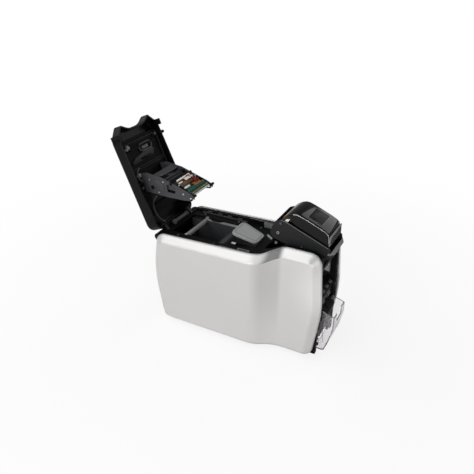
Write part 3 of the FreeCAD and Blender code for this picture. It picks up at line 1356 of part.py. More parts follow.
frame_half = s.bay_half + s.rail_wide - s.fit_gap
rail = prism_x(outline(rail_shares, (s.bay_front, bar_low), (bar_rear, s.bar_top), s.rail_round),
               tub_half + s.fit_gap, frame_half)
bar = block(-frame_half, frame_half, bar_rear - s.bar_wide, bar_rear, bar_low, s.bar_top)
for side in (-1, 1):
    edges = sorted((side * s.bay_half, side * tub_half))
    bar = bar.cut(block(*edges, -LONG, LONG, 0, s.tub_top))
bar_front = s.bay_front + s.tub_wall + s.fit_gap
bay_frame = bar.fuse(rail).fuse(mirrored(rail)).fuse(
    block(-frame_half, frame_half, bar_front, bar_front + s.bar_front, s.bar_top - s.wall, s.bar_top))
feature("ribbon_bay_frame", bay_frame)
for label, name in (("ribbon_supply_hub", "supply"), ("ribbon_take_up_hub", "take_up")):
    hub = Piece(label)
    place = (name + "_y", name + "_z")
    hub.add("YZ", "bay_half-hub_in", "hub_long", (*place, "hub_radius"))
    hub.add("YZ", "bay_half", "plate_in-bay_half+plate_thick+pin_sink", (*place, "hub_pin"))

# Cleaning cassette: a light grip on a dark body that holds a sticky roller
grip_tilt = FreeCAD.Placement(V(0, s.grip_y, s.grip_z), FreeCAD.Rotation(V(1, 0, 0), s.grip_lean))
grip_half = [(s.grip_rear, s.grip_run), (-s.grip_rear, s.grip_run), (-s.grip_front, -s.grip_run),
             (s.grip_front, -s.grip_run)]
grip = prism_z(rounded(grip_half, [s.grip_round] * 4), 0, s.grip_thick)
grip = grip.makeFillet(s.grip_edge, [e for e in grip.Edges if e.BoundBox.ZMin > s.grip_thick / 2])
feature("cassette_grip", grip, grip_tilt)
body_shares = [(0, 0.865, 0), (0, 0.754, 1.5), (0.156, 0, 1), (0.6, 0, 1), (0.867, 0.754, 1.5), (1, 1, 0)]
cassette = prism_x(outline(body_shares, (-s.cassette_front, s.cassette_low),
                           (-s.cassette_front + s.cassette_long, s.grip_z + s.cassette_top), s.cassette_round),
                   -s.cassette_half, s.cassette_half)
cassette = cassette.fuse(block(-s.flange_half, s.flange_half, -s.cassette_front, s.flange_rear, s.deck_floor,
                               s.deck_floor + s.flange_thick))
roller_mouth = outline([(0, -1, 0), (1, -1, 0), (1, 1, 0.5), (0, 1, 0.5)], (s.clean_y - s.mouth_run, s.cassette_low),
                       (s.clean_y + s.mouth_run, s.cassette_low + s.mouth_high), s.mouth_run)
cassette = cassette.cut(prism_x(roller_mouth, -s.mouth_half, s.mouth_half))
cassette = cassette.cut(through_x(s.clean_y, s.sticky_z, s.sticky_pin + s.run_gap))
above_grip = slice_box(-LONG, LONG, 0, TALL)
above_grip.Placement = grip_tilt
feature("cassette_body", cassette.cut(above_grip))
sticky = Piece("cassette_roller")
sticky.add("YZ", "-cassette_half", "cassette_half*2", ("clean_y", "sticky_z", "sticky_pin"))
sticky.add("YZ", "-mouth_half+sticky_gap", "(mouth_half-sticky_gap)*2", ("clean_y", "sticky_z", "sticky_radius"))

# Latch pockets for the lid's lugs
pocket_out = s.recess_half - s.pocket_gap
pocket_in = pocket_out - s.pocket_wide
hollow_front = -s.lug_front - s.pocket_run
hollow_rear = -s.lug_front + s.lug_long + s.pocket_run
pocket = block(pocket_in, pocket_out, hollow_front - s.wall, hollow_rear + s.wall, s.deck_floor,
               s.deck_floor + s.pocket_high)
pocket = pocket.cut(block(pocket_in + s.pocket_wall, pocket_out - s.pocket_skin, hollow_front, hollow_rear,
                          s.deck_floor + s.pocket_floor, TALL))
feature("latch_pockets", Part.makeCompound([mirrored(pocket), pocket]))

doc.recompute()
os.makedirs("parts", exist_ok=True)
for made in PLACED:
    if {"Invalid", "Error"} & set(made.State) or made.Shape.isNull() or not made.Shape.isValid():
        raise RuntimeError(made.Label + " failed")
    made.Shape.exportStep("parts/%s.step" % made.Label)
    box = made.Shape.BoundBox
    print(made.Label, len(made.Shape.Solids), "solids", round(box.XLength), round(box.YLength), round(box.ZLength))
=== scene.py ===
import json
import math
from contextlib import contextmanager
from itertools import product

import bmesh
import bpy
from bpy.props import FloatProperty, FloatVectorProperty, PointerProperty
from mathutils import Matrix, Vector


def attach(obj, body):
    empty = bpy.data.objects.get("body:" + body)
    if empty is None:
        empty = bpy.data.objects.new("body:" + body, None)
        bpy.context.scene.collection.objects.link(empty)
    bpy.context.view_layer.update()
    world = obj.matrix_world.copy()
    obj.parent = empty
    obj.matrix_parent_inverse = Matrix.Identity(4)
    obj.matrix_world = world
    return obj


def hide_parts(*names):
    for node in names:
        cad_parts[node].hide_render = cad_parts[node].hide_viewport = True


bl_info = {
    "name": "Card printer",
    "version": (1, 0, 0),
    "blender": (4, 5, 0),
    "location": "View3D > Sidebar > Card printer",
    "description": "A desktop card printer with its lid raised, dressed over its packed solids",
    "category": "Add Mesh",
}

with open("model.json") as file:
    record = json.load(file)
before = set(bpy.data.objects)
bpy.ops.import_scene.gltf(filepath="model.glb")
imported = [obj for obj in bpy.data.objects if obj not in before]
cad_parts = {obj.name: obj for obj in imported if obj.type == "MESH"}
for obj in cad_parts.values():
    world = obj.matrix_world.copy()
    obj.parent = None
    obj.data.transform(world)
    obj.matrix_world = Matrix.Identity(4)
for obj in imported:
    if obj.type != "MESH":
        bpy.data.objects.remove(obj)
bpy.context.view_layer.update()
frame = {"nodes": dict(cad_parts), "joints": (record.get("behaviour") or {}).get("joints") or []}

MM = 0.001

# The lid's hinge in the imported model, and the turn that carries a piece from the shut lid to the raised one
HINGE = next(joint for joint in frame["joints"] if joint["name"] == "lid_hinge")
TO_HINGE = Matrix.Translation(HINGE["pos_m"])
RAISED_LID = TO_HINGE @ Matrix.Rotation(-math.radians(HINGE["range_deg"][1]), 4, "X") @ TO_HINGE.inverted()

# Edges sharper than the first are rounded where a piece has a bevel; those sharper than the second stay crisp
ROUNDED_ABOVE = math.radians(50)
CRISP_ABOVE = math.radians(38)

# Frames of sloping faces: the print head's, from the top of its board, and the hood's, from its crest
HEAD_PLANE = Matrix.Translation((0, 0.12465, 0.2849)) @ Matrix.Rotation(0.2053, 4, "X")
HOOD_PLANE = Matrix.Translation((0, -0.112, 0.2854)) @ Matrix.Rotation(0.3911, 4, "X")

# The turn that lays a circuit board's tracks along the head's slope
TRACK_TURN = 0.205

# Levels that several details share, in millimetres, with the lid shut
LID_FACE = 223.2
DECK = 197.8
ARM_SIDE = 36.7
HOOD_SIDE = 30.3

# The side view of the hood in millimetres, from its rear foot over the top and back underneath
HOOD_TOP = [(-65.5, 263.5), (-68, 270), (-72.5, 276.5), (-78.5, 282.5), (-86, 287), (-94, 289.6),
            (-101, 289.2), (-112, 285.4), (-128, 279), (-144, 272.2), (-153, 267.6), (-158, 263),
            (-160.3, 256), (-161.2, 241)]
HOOD_UNDER = [(-156, 240), (-128, 251), (-106, 259.5), (-96, 266), (-88, 274.5), (-80, 276), (-74, 270.5),
              (-70.5, 263.5)]

# Depths, in metres, at which the painted shade on the side panels' step fades in and out: where the step
# curves over and where it dips
PAINTED_SHADE_BEND_FRONT = (-0.092, -0.078)
PAINTED_SHADE_BEND_REAR = (-0.064, -0.046)
PAINTED_SHADE_HOLLOW_FRONT = (-0.090, -0.080)
PAINTED_SHADE_HOLLOW_REAR = (-0.054, -0.028)

# The photograph's camera, fitted to the casing
PHOTO_WIDE = 474
FOCAL_PIXELS = 541.53
SENSOR_WIDE = 36.0
CAMERA_PLACE = (-0.829886, -0.401105, 0.710867)
CAMERA_YAW = 0.485
CAMERA_PITCH = 0.503

# Lamps: kind, place, what each faces, power in watts, and its own settings
LAMPS = {
    "top_lamp": ("AREA", (-0.9, 0.9, 2.1), (0, 0, 0.1), 30.0, {"size": 2.0}),
    "key_lamp": ("AREA", (-2.3, 0.3, 0.9), (0, 0, 0.15), 20.5, {"size": 1.2}),
    "front_lamp": ("AREA", (-1.45, -1.6, 0.42), (0.05, -0.12, 0.12), 9.0, {"size": 0.5}),
    "fill_lamp": ("AREA", (1.9, -0.9, 1.3), (0, 0, 0.2), 16.0, {"size": 1.6}),
    "rear_lamp": ("AREA", (0.4, 2.2, 1.2), (0, 0, 0.2), 10.0, {"size": 1.6}),
    "bay_lamp": ("SPOT", (-1.837, -0.895, 0.43), (0.063, -0.1346, 0.1445), 170.0,
                 {"spot_size": math.radians(2.2), "spot_blend": 0.6, "shadow_soft_size": 0.05}),
}
WORLD_LIGHT = 0.2


# Shader sums

class Value:
    """A node's output that takes part in sums and comparisons."""

    def __init__(self, nodes, socket):
        self.nodes = nodes
        self.socket = socket

    def math(self, operation, first, second=None):
        inputs = {0: first} if second is None else {0: first, 1: second}
        return self.nodes.node("Math", {"operation": operation}, inputs)

    def __add__(self, other):
        return self.math("ADD", self, other)

    def __sub__(self, other):
        return self.math("SUBTRACT", self, other)

    def __rsub__(self, other):
        return self.math("SUBTRACT", other, self)

    def __mul__(self, other):
        return self.math("MULTIPLY", self, other)

    def __gt__(self, other):
        return self.math("GREATER_THAN", self, other)

    def __lt__(self, other):
        return self.math("LESS_THAN", self, other)

    def __abs__(self):
        return self.math("ABSOLUTE", self)

    __radd__ = __add__
    __rmul__ = __mul__

    def step(self, low, high):
        """0 below low, 1 above high, and a soft ramp between them."""
        return self.nodes.node("MapRange", {"interpolation_type": "SMOOTHSTEP"},
                               {"Value": self, "From Min": low, "From Max": high})


class Nodes:
    """A tree of nodes that is built up as sums."""

    def __init__(self, tree):
        self.tree = tree

    def node(self, kind, settings, inputs, output=0):
        """A node with its settings made first, then its inputs set or linked."""
        made = self.tree.nodes.new("ShaderNode" + kind)
        for key, value in settings.items():
            setattr(made, key, value)
        for key, value in inputs.items():
            self.feed(made.inputs[key], value)
        return Value(self, made.outputs[output])

    def feed(self, socket, value):
        """A link from another node, or a plain value."""
        if isinstance(value, Value):
            self.tree.links.new(value.socket, socket)
        elif socket.type == "RGBA" and len(value) == 3:
            socket.default_value = (*value, 1)
        else:
            socket.default_value = value

    def seen(self):
        """1 where the camera looks, straight or through a clear part, and 0 for other light."""
        rays = [self.node("LightPath", {}, {}, ray) for ray in ("Is Camera Ray", "Is Transmission Ray")]
        return self.node("Math", {"operation": "MAXIMUM"}, dict(enumerate(rays)))


class Finish(Nodes):
    """A material whose nodes start from a plain colour and roughness."""

    def __init__(self, name, colour, roughness, **fixed):
        self.material = bpy.data.materials.new(name)
        self.material.use_nodes = True
        super().__init__(self.material.node_tree)
        self.shader = self.tree.nodes["Principled BSDF"]
        self.place = self.node("TexCoord", {}, {}, "Object")
        self.set("Base Color", colour)
        self.set("Roughness", roughness)
        for socket, value in fixed.items():
            self.set(socket.replace("_", " ").title().replace("Ior", "IOR"), value)

    def set(self, name, value):
        self.feed(self.shader.inputs[name], value)
        return self

    def axis(self, letter):
        """One coordinate of the surface point, in metres."""
        return self.node("SeparateXYZ", {}, {0: self.place}, letter)

    def noise(self, scale, detail=2.0, stretch=(1, 1, 1)):
        """Cloudy noise of so many lumps a metre, about 0.5."""
        place = self.place
        if stretch != (1, 1, 1):
            place = self.node("Mapping", {}, {"Vector": place, "Scale": stretch})
        return self.node("TexNoise", {}, {"Vector": place, "Scale": scale, "Detail": detail})

    def cells(self, scale, output="Distance"):
        """Cell noise of so many cells a metre."""
        return self.node("TexVoronoi", {}, {"Vector": self.place, "Scale": scale}, output)

    def mix(self, share, first, second):
        """One colour turning into another as share goes from 0 to 1."""
        inputs = {"Factor": share, 6: first, 7: second}
        return self.node("Mix", {"data_type": "RGBA"}, inputs, 2)

    def tone(self, share, colour, low, high):
        """The base colour, from one shade of a colour to another as share goes from 0 to 1."""
        return self.set("Base Color", self.mix(share, shade(colour, low), shade(colour, high)))

    def bump(self, height, depth, over=None):
        """Relief of that depth in metres on the surface, or over softened edges."""
        inputs = {"Height": height, "Distance": depth}
        if over:
            inputs["Normal"] = over
        return self.set("Normal", self.node("Bump", {}, inputs))


def shade(colour, factor):
    """A colour made darker or lighter."""
    return tuple(channel * factor for channel in colour)


def silver_paint(colour):
    made = Finish("silver_paint", colour, 0.4, metallic=0.45)
    flake = made.cells(2600.0, output="Color")
    sparkle = made.node("SeparateXYZ", {}, {0: flake}, "X")
    drift = made.noise(9.0, 3.0)
    outward = made.node("TexCoord", {}, {}, "Normal")
    up = made.node("SeparateXYZ", {}, {0: outward}, "Z")
    along = made.axis("Y")
    # Painted shade: the base colour darkens along the curve of the step and over its dip, standing for the
    # dark surroundings that the satin paint reflects there
    bend_painted_shade = along.step(*PAINTED_SHADE_BEND_FRONT) * (1 - along.step(*PAINTED_SHADE_BEND_REAR)) * (1 - up.step(0.7, 1.0)) * (up > 0.03)
    hollow_painted_shade = along.step(*PAINTED_SHADE_HOLLOW_FRONT) * (1 - along.step(*PAINTED_SHADE_HOLLOW_REAR)) * made.axis("Z").step(0.02, 0.17)
    paint = made.mix(sparkle * 0.5 + drift * 0.3, shade(colour, 0.94), shade(colour, 1.05))
    made.set("Base Color", made.mix(bend_painted_shade * 0.75 + hollow_painted_shade * 0.22, paint, shade(colour, 0.2)))
    made.set("Roughness", drift * 0.08 + 0.38)
    soft = made.node("Bevel", {"samples": 8}, {"Radius": 0.007})
    return made.bump(made.noise(1400.0, 3.0), 0.00002, over=soft)


def gloss_black(name, colour, roughness, specular):
    made = Finish(name, colour, roughness, specular_ior_level=specular, coat_weight=0.05)
    dust = made.noise(38.0, 6.0).step(0.5, 0.8)
    made.tone(dust, colour, 1, 1.8)
    made.set("Roughness", dust * 0.1 + roughness)
    return made.bump(made.noise(900.0, 2.0), 0.00002)


def textured_plastic(name, colour, roughness, specular=0.3):
    made = Finish(name, colour, roughness, specular_ior_level=specular)
    drift = made.noise(24.0, 4.0)
    rubbed = made.noise(90.0, 5.0, (1, 0.4, 1)).step(0.55, 0.85)
    clean = made.mix(drift, shade(colour, 0.88), shade(colour, 1.1))
    made.set("Base Color", made.mix(rubbed * 0.4, clean, shade(colour, 1.35)))
    made.set("Roughness", drift * 0.14 + (roughness - 0.07))
    return made.bump(made.cells(1700.0) * 0.6 + made.noise(1190.0, 3.0) * 0.4, 0.00006)


def ground_rubber(colour):
    made = Finish("ground_rubber", colour, 0.72, specular_ior_level=0.25)
    rings = made.node("TexWave", {"bands_direction": "X"},
                      {"Vector": made.place, "Scale": 320.0, "Distortion": 1.5})
    dust = made.noise(60.0, 5.0).step(0.45, 0.8)
    made.tone(dust, colour, 1, 1.5)
    return made.bump(rings * 0.5 + made.noise(2500.0) * 0.5, 0.00004)


def plated_steel(name, colour, roughness):
    made = Finish(name, colour, roughness, metallic=0.9)
    brushed = made.noise(420.0, 3.0, (1, 0.06, 1))
    made.tone(brushed, colour, 0.85, 1.12)
    made.set("Roughness", brushed * 0.16 + (roughness - 0.08))
    return made.bump(brushed, 0.00002)


def clear_plastic(colour):
    made = Finish("clear_plastic", colour, 0.06, transmission_weight=0.92, ior=1.38)
    haze = made.noise(70.0, 4.0).step(0.45, 0.8)
    scuff = made.noise(260.0, 3.0, (1, 1, 0.1)).step(0.6, 0.8)
    made.tone(scuff * 0.5, colour, 1, 0.9)
    made.set("Roughness", haze * 0.10 + 0.04)
    return made.bump(made.noise(120.0), 0.00003)


def smoky_plastic(colour, glow):
    made = Finish("smoky_plastic", colour, 0.1, specular_ior_level=0.18, coat_weight=0.05)
    # Painted light: towards the rear the base colour turns to the glow colour, standing for the lit
    # background seen through the smoky plastic, varied by the noise
    rear = made.axis("Y").step(-0.088, -0.072)
    streak_and_glow_noise = made.noise(30.0, 3.0)
    made.set("Base Color", made.mix(rear * (streak_and_glow_noise * 0.5 + 0.35), colour, glow))
    made.set("Roughness", streak_and_glow_noise * 0.06 + 0.08)
    return made.bump(made.noise(90.0), 0.00002)


def solder_mask(colour):
    made = Finish("solder_mask", colour, 0.4, specular_ior_level=0.3, coat_weight=0.1)
    turned = made.node("Mapping", {}, {"Vector": made.place, "Rotation": (TRACK_TURN, 0, 0)})
    track = made.node("TexBrick", {"offset": 0.37, "squash": 1.6},
                      {"Vector": turned, "Scale": 160.0, "Mortar Size": 0.09, "Mortar Smooth": 0.05}, "Fac")
    pad = made.cells(420.0) < 0.14
    made.set("Base Color", made.mix(pad, made.mix(track, colour, shade(colour, 1.9)), (0.42, 0.36, 0.2)))
    made.set("Metallic", pad * 0.8)
    return made.bump(track + pad, 0.00005)


def moulded_chip(colour):
    made = Finish("moulded_chip", colour, 0.5, specular_ior_level=0.3)
    made.set("Roughness", made.noise(300.0, 3.0) * 0.2 + 0.4)
    made.tone(made.noise(90.0, 3.0), colour, 0.8, 1.4)
    return made.bump(made.noise(3000.0), 0.00003)


def glazed_ceramic(colour):
    made = Finish("glazed_ceramic", colour, 0.18, coat_weight=0.4)
    across = made.axis("X") * 1600.0
    line = abs(across - made.node("Math", {"operation": "FLOOR"}, {0: across}) - 0.5)
    made.tone(line < 0.12, colour, 1, 0.75)
    return made.bump(made.noise(900.0), 0.00001)


def cast_alloy(colour):
    made = Finish("cast_alloy", colour, 0.42, metallic=0.85)
    grain = made.noise(600.0, 4.0)
    made.tone(grain, colour, 0.8, 1.1)
    made.set("Roughness", grain * 0.2 + 0.32)
    return made.bump(grain, 0.00004)


def amber_film(colour):
    made = Finish("amber_film", colour, 0.3, coat_weight=0.2)
    across = made.axis("X") * 900.0
    stripe = abs(across - made.node("Math", {"operation": "FLOOR"}, {0: across}) - 0.5) < 0.28
    made.tone(stripe, colour, 0.55, 1)
    made.set("Metallic", stripe * 0.35)
    return made.bump(stripe, 0.00003)


def drawn_wire(name, colour, metallic):
    made = Finish(name, colour, 0.4, metallic=metallic)
    drawn = made.noise(700.0, 3.0, (0.1, 1, 1))
    made.tone(drawn, colour, 0.8, 1.15)
    made.set("Roughness", drawn * 0.2 + 0.28)
    return made.bump(drawn, 0.00001)


# Settings a user would change

class CardPrinterColours(bpy.types.PropertyGroup):
    """Colours of the printer's finishes."""
    panel: FloatVectorProperty(
        name="Side panels", description="Satin silver paint of the side panels",
        subtype="COLOR", default=(0.62, 0.615, 0.61))
    casing: FloatVectorProperty(
        name="Casing", description="Black of the lid and casing",
        subtype="COLOR", default=(0.0035, 0.0035, 0.004))
    inner: FloatVectorProperty(
        name="Inner mouldings", description="Charcoal of the inner mouldings",
        subtype="COLOR", default=(0.013, 0.0135, 0.014))
    grey: FloatVectorProperty(
        name="Dark grey parts", description="Dark grey of the head arms and the bay",
        subtype="COLOR", default=(0.05, 0.051, 0.055))
    trim: FloatVectorProperty(
        name="Trim", description="Mid grey of the small mouldings",
        subtype="COLOR", default=(0.15, 0.155, 0.16))
    pale: FloatVectorProperty(
        name="Pale mouldings", description="Light grey of the bay frame and the grip",
        subtype="COLOR", default=(0.30, 0.31, 0.305))
    board: FloatVectorProperty(
        name="Circuit boards", description="Solder mask of the circuit boards",
        subtype="COLOR", default=(0.006, 0.05, 0.034))


class CardPrinterSizes(bpy.types.PropertyGroup):
    """Sizes of the details that are added to the solids."""
    grip_long: FloatProperty(
        name="Grip loop", description="Length of the lid's moulded grip loop",
        unit="LENGTH", default=0.040)
    rim_wide: FloatProperty(
        name="Grip border", description="Width of the raised border on the cassette grip",
        unit="LENGTH", default=0.0009)
    # The bright strip along the hood is a painted highlight, standing for the glint on the hood's crease
    crease_highlight_wide: FloatProperty(
        name="Hood crease", description="Thickness of the bright trim along the hood",
        unit="LENGTH", default=0.0011)
    stage_size: FloatProperty(name="Floor", description="Width of the floor", unit="LENGTH", default=40.0)


# Mesh helpers; details are drawn in millimetres and scaled once at the end

@contextmanager
def new_piece(name, finish, body, slot, bevel=0.0, place=None, scale=MM):
    """A bmesh to shape, which then becomes an object with its finish, riding on a body."""
    bm = bmesh.new()
    yield bm
    bmesh.ops.remove_doubles(bm, verts=bm.verts, dist=1e-8 / scale)
    if bevel:
        edges = [e for e in bm.edges if len(e.link_faces) == 2 and e.calc_face_angle(0) > ROUNDED_ABOVE]
        bmesh.ops.bevel(bm, geom=edges, offset=bevel, segments=2, profile=0.5, material=-1, affect="EDGES",
                        clamp_overlap=True)
    bmesh.ops.transform(bm, matrix=(place or Matrix()) @ Matrix.Scale(scale, 4), verts=bm.verts)
    bmesh.ops.recalc_face_normals(bm, faces=bm.faces)
    mesh = bpy.data.meshes.new(name)
    bm.to_mesh(mesh)
    bm.free()
    mesh.shade_smooth()
    mesh.set_sharp_from_angle(angle=CRISP_ABOVE)
    piece = bpy.data.objects.new(name, mesh)
    bpy.context.scene.collection.objects.link(piece)
    mesh.materials.append(FINISHES[finish].material)
    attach(piece, body)


def box(bm, low, high):
    """A box between two corners."""
    low, high = Vector(low), Vector(high)
    size = Matrix.Diagonal((*(high - low), 1))
    bmesh.ops.create_cube(bm, size=1, matrix=Matrix.Translation((low + high) / 2) @ size)


def rod(bm, start, end, radius, tip=None, segments=24):
    """A round bar from one point to another, tapered where a tip radius is given."""
    start, end = Vector(start), Vector(end)
    along = end - start
    turn = along.to_track_quat("Z", "Y").to_matrix().to_4x4()
    bmesh.ops.create_cone(bm, cap_ends=True, segments=segments, radius1=radius,
                          radius2=radius if tip is None else tip, depth=along.length,
                          matrix=Matrix.Translation((start + end) / 2) @ turn)


def washer(bm, start, end, outer, inner):
    """A ring along an axis: a short bar whose ends are inset and joined through its middle."""
    segments = 32
    before = set(bm.faces)
    rod(bm, start, end, outer, segments=segments)
    caps = [f for f in bm.faces if f not in before and len(f.verts) == segments]
    bmesh.ops.inset_individual(bm, faces=caps, thickness=outer - inner, use_even_offset=True)
    loops = [e for f in caps for e in f.edges]
    bmesh.ops.delete(bm, geom=caps, context="FACES_ONLY")
    bmesh.ops.bridge_loops(bm, edges=loops)


def screw(bm, centre, outward, radius=2.4, high=1.2):
    """A pan head with a round recess, standing on a surface."""
    centre, outward = Vector(centre), Vector(outward).normalized()
    before = set(bm.faces)
    rod(bm, centre, centre + outward * high, radius, radius * 0.82, 20)
    top = max((f for f in bm.faces if f not in before and len(f.verts) == 20),
              key=lambda f: f.calc_center_median().dot(outward))
    bmesh.ops.inset_individual(bm, faces=[top], thickness=radius * 0.36)
    bmesh.ops.translate(bm, verts=top.verts, vec=-outward * high * 0.6)


def draw_out(bm, faces, step):
    """Faces drawn out by a step, with their first place kept as the other side."""
    drawn = bmesh.ops.extrude_face_region(bm, geom=faces, use_keep_orig=True)["geom"]
    bmesh.ops.translate(bm, verts=[v for v in drawn if isinstance(v, bmesh.types.BMVert)], vec=step)


def slab(bm, outline, axis, low, high):
    """A flat outline drawn out between two levels along X or Z."""
    across = axis == "X"
    corners = [(low, *point) if across else (*point, low) for point in outline]
    face = bm.faces.new([bm.verts.new(corner) for corner in corners])
    draw_out(bm, [face], Vector((1, 0, 0) if across else (0, 0, 1)) * (high - low))


def plate(bm, low, high, corner, rim=0.0):
    """A flat plate with round corners, or with a rim a frame that is open in its middle."""
    low, high = Vector(low), Vector(high)
    size = high - low
    middle = Matrix.Translation(((low.x + high.x) / 2, (low.y + high.y) / 2, low.z))
    made = bmesh.ops.create_grid(bm, x_segments=1, y_segments=1, size=0.5,
                                 matrix=middle @ Matrix.Diagonal((size.x, size.y, 1, 1)))["verts"]
    rounded = bmesh.ops.bevel(bm, geom=made, offset=corner, segments=6, profile=0.5, material=-1,
                              affect="VERTICES")
    faces = rounded["faces"] + [f for v in rounded["verts"] for f in v.link_faces]
    whole = [max(faces, key=lambda f: f.calc_area())]
    faces = whole
    if rim:
        faces = bmesh.ops.inset_individual(bm, faces=whole, thickness=rim, use_even_offset=True)["faces"]
        bmesh.ops.delete(bm, geom=whole, context="FACES_ONLY")
    draw_out(bm, faces, (0, 0, size.z))


def tube(bm, path, radius, sides=10, closed=False):
    """A round wire along a path: a ring of points at each stop, bridged to the next."""
    path = [Vector(point) for point in path]
    rings = []
    for index, point in enumerate(path):
        before = path[index - 1] if index or closed else point
        after = path[(index + 1) % len(path)] if index < len(path) - 1 or closed else point
        turn = (after - before).to_track_quat("Z", "X").to_matrix().to_4x4()
        ends = not closed and index in (0, len(path) - 1)
        verts = bmesh.ops.create_circle(bm, cap_ends=ends, segments=sides, radius=radius,
                                        matrix=Matrix.Translation(point) @ turn)["verts"]
        rings.append({edge for vert in verts for edge in vert.link_edges})
    for one, other in zip(rings, rings[1:] + rings[:1] if closed else rings[1:]):
        bmesh.ops.bridge_loops(bm, edges=list(one | other))


def spring(bm, start, end, radius, wire, turns):
    """A coil spring: a small circle spun about an axis as it moves along it."""
    start, end = Vector(start), Vector(end)
    along = end - start
    side = along.orthogonal().normalized()
    turn = along.cross(side).to_track_quat("Z", "Y").to_matrix().to_4x4()
    ring = bmesh.ops.create_circle(bm, cap_ends=True, segments=8, radius=wire,
                                   matrix=Matrix.Translation(start + side * radius) @ turn)["verts"]
    faces = {face for vert in ring for face in vert.link_faces}
    edges = {edge for vert in ring for edge in vert.link_edges}
    steps = turns * 14
    bmesh.ops.spin(bm, geom=[*faces, *edges, *ring], cent=start, axis=along.normalized(), dvec=along / steps,
                   angle=math.tau * turns, steps=steps)


def band(bm, path, left, right, thick):
    """A strip that follows a path in Y and Z, as wide as from left to right."""
    verts = [bm.verts.new((left, *point)) for point in path]
    edges = [bm.edges.new(pair) for pair in zip(verts, verts[1:])]
    drawn = bmesh.ops.extrude_edge_only(bm, edges=edges)["geom"]
    bmesh.ops.translate(bm, verts=[v for v in drawn if isinstance(v, bmesh.types.BMVert)],
                        vec=(right - left, 0, 0))
    bmesh.ops.solidify(bm, geom=[f for f in drawn if isinstance(f, bmesh.types.BMFace)], thickness=thick)


def raised_rim(bm, node, toward, inset, wide, high):
    """A raised border that runs round a node's flat face, inset from its edge."""
    bm.from_mesh(frame["nodes"][node].data)
    toward = Vector(toward).normalized()
    others = [f for f in bm.faces if f.normal.dot(toward) < 0.995]
    bmesh.ops.delete(bm, geom=others, context="FACES")
    bmesh.ops.remove_doubles(bm, verts=bm.verts, dist=1e-6)
    bmesh.ops.dissolve_faces(bm, faces=bm.faces)
    face = max(bm.faces, key=lambda f: f.calc_area())
    bmesh.ops.delete(bm, geom=[f for f in bm.faces if f is not face], context="FACES")
    outer = bmesh.ops.inset_individual(bm, faces=[face], thickness=inset, use_even_offset=True)["faces"]
    ring = bmesh.ops.inset_individual(bm, faces=[face], thickness=wide, use_even_offset=True)["faces"]
    bmesh.ops.delete(bm, geom=outer + [face], context="FACES")
    draw_out(bm, ring, toward * high)


# Finishes on the solids

NODE_FINISHES = {
    "silver": ["right_side_panel", "left_side_panel"],
    "black": ["base_tray", "rear_cover", "deck_frame", "lid_shell"],
    "matt": ["front_frame", "card_exit", "lid_liner"],
    "inner": ["feeder_cradle", "cassette_body", "fan_frame", "fan_rotor"],
    "grey": ["ribbon_bay_tub", "hopper_back_plate", "head_arms", "arm_cross_braces", "head_carrier",
             "ribbon_supply_hub", "ribbon_take_up_hub", "exit_roller"],
    "trim": ["hood_front_face", "feeder_lip", "latch_pockets"],
    "pale": ["ribbon_bay_frame", "cassette_grip"],
    "rubber": ["rubber_feet", "platen_roller", "print_roller", "cleaning_transport_roller", "feed_roller",
               "pick_roller", "print_pinch_roller", "feed_pinch_roller", "cassette_roller", "transport_belt"],
    "steel": ["hinge_pins", "feeder_pivot_pins", "hopper_pins", "right_chassis_plate", "left_chassis_plate",
              "head_shaft", "drive_motor", "hood_pins"],
    "clear": ["output_hopper"],
    "smoky": ["feeder_hood"],
    "board": ["main_circuit_board", "head_circuit_board"],
    "chip": ["board_chips", "power_socket", "network_socket", "usb_socket", "power_switch_case",
             "power_rocker"],
    "ceramic": ["heating_strip"],
    "alloy": ["head_heat_sink"],
    "white": ["head_connector", "drive_gear", "motor_pinion"],
    "amber": ["head_flat_cable"],
}
FINISHES = {}


def make_finishes(colours):
    """Every finish by its short name."""
    FINISHES.update({
        "silver": silver_paint(colours.panel),
        "black": gloss_black("satin_black", colours.casing, 0.4, 0.08),
        "gloss": gloss_black("gloss_black", colours.casing, 0.1, 0.5),
        "matt": textured_plastic("matt_black_moulding", colours.casing, 0.6, 0.06),
        "inner": textured_plastic("charcoal_moulding", colours.inner, 0.55, 0.2),
        "grey": textured_plastic("dark_grey_moulding", colours.grey, 0.5, 0.25),
        "trim": textured_plastic("grey_moulding", colours.trim, 0.45),
        "pale": textured_plastic("pale_moulding", colours.pale, 0.45),
        "rubber": ground_rubber((0.016, 0.016, 0.018)),
        "steel": plated_steel("plated_steel", (0.10, 0.10, 0.11), 0.42),
        "bright": plated_steel("bright_steel", (0.55, 0.55, 0.56), 0.3),
        "clear": clear_plastic((0.90, 0.885, 0.90)),
        # Painted light: the second colour is the amber glow of the background seen through the hood
        "smoky": smoky_plastic(colours.casing, (0.11, 0.055, 0.016)),
        "board": solder_mask(colours.board),
        "chip": moulded_chip((0.012, 0.012, 0.013)),
        "ceramic": glazed_ceramic((0.55, 0.56, 0.53)),
        "alloy": cast_alloy((0.16, 0.16, 0.17)),
        "white": textured_plastic("white_nylon", (0.72, 0.71, 0.68), 0.4),
        "amber": amber_film((0.36, 0.16, 0.05)),
        "red": drawn_wire("red_insulation", (0.20, 0.012, 0.012), 0.0),
        "gold": drawn_wire("gold_contact", (0.62, 0.45, 0.16), 0.85),
    })


class CARDPRINTER_OT_solids(bpy.types.Operator):
    """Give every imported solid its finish"""
    bl_idname = "card_printer.solids"
    bl_label = "Finish the solids"

    def execute(self, context):
        make_finishes(context.scene.card_printer_colours)
        for key, names in NODE_FINISHES.items():
            for name in names:
                for held in frame["nodes"][name].material_slots:
                    held.material = FINISHES[key].material
        return {"FINISHED"}


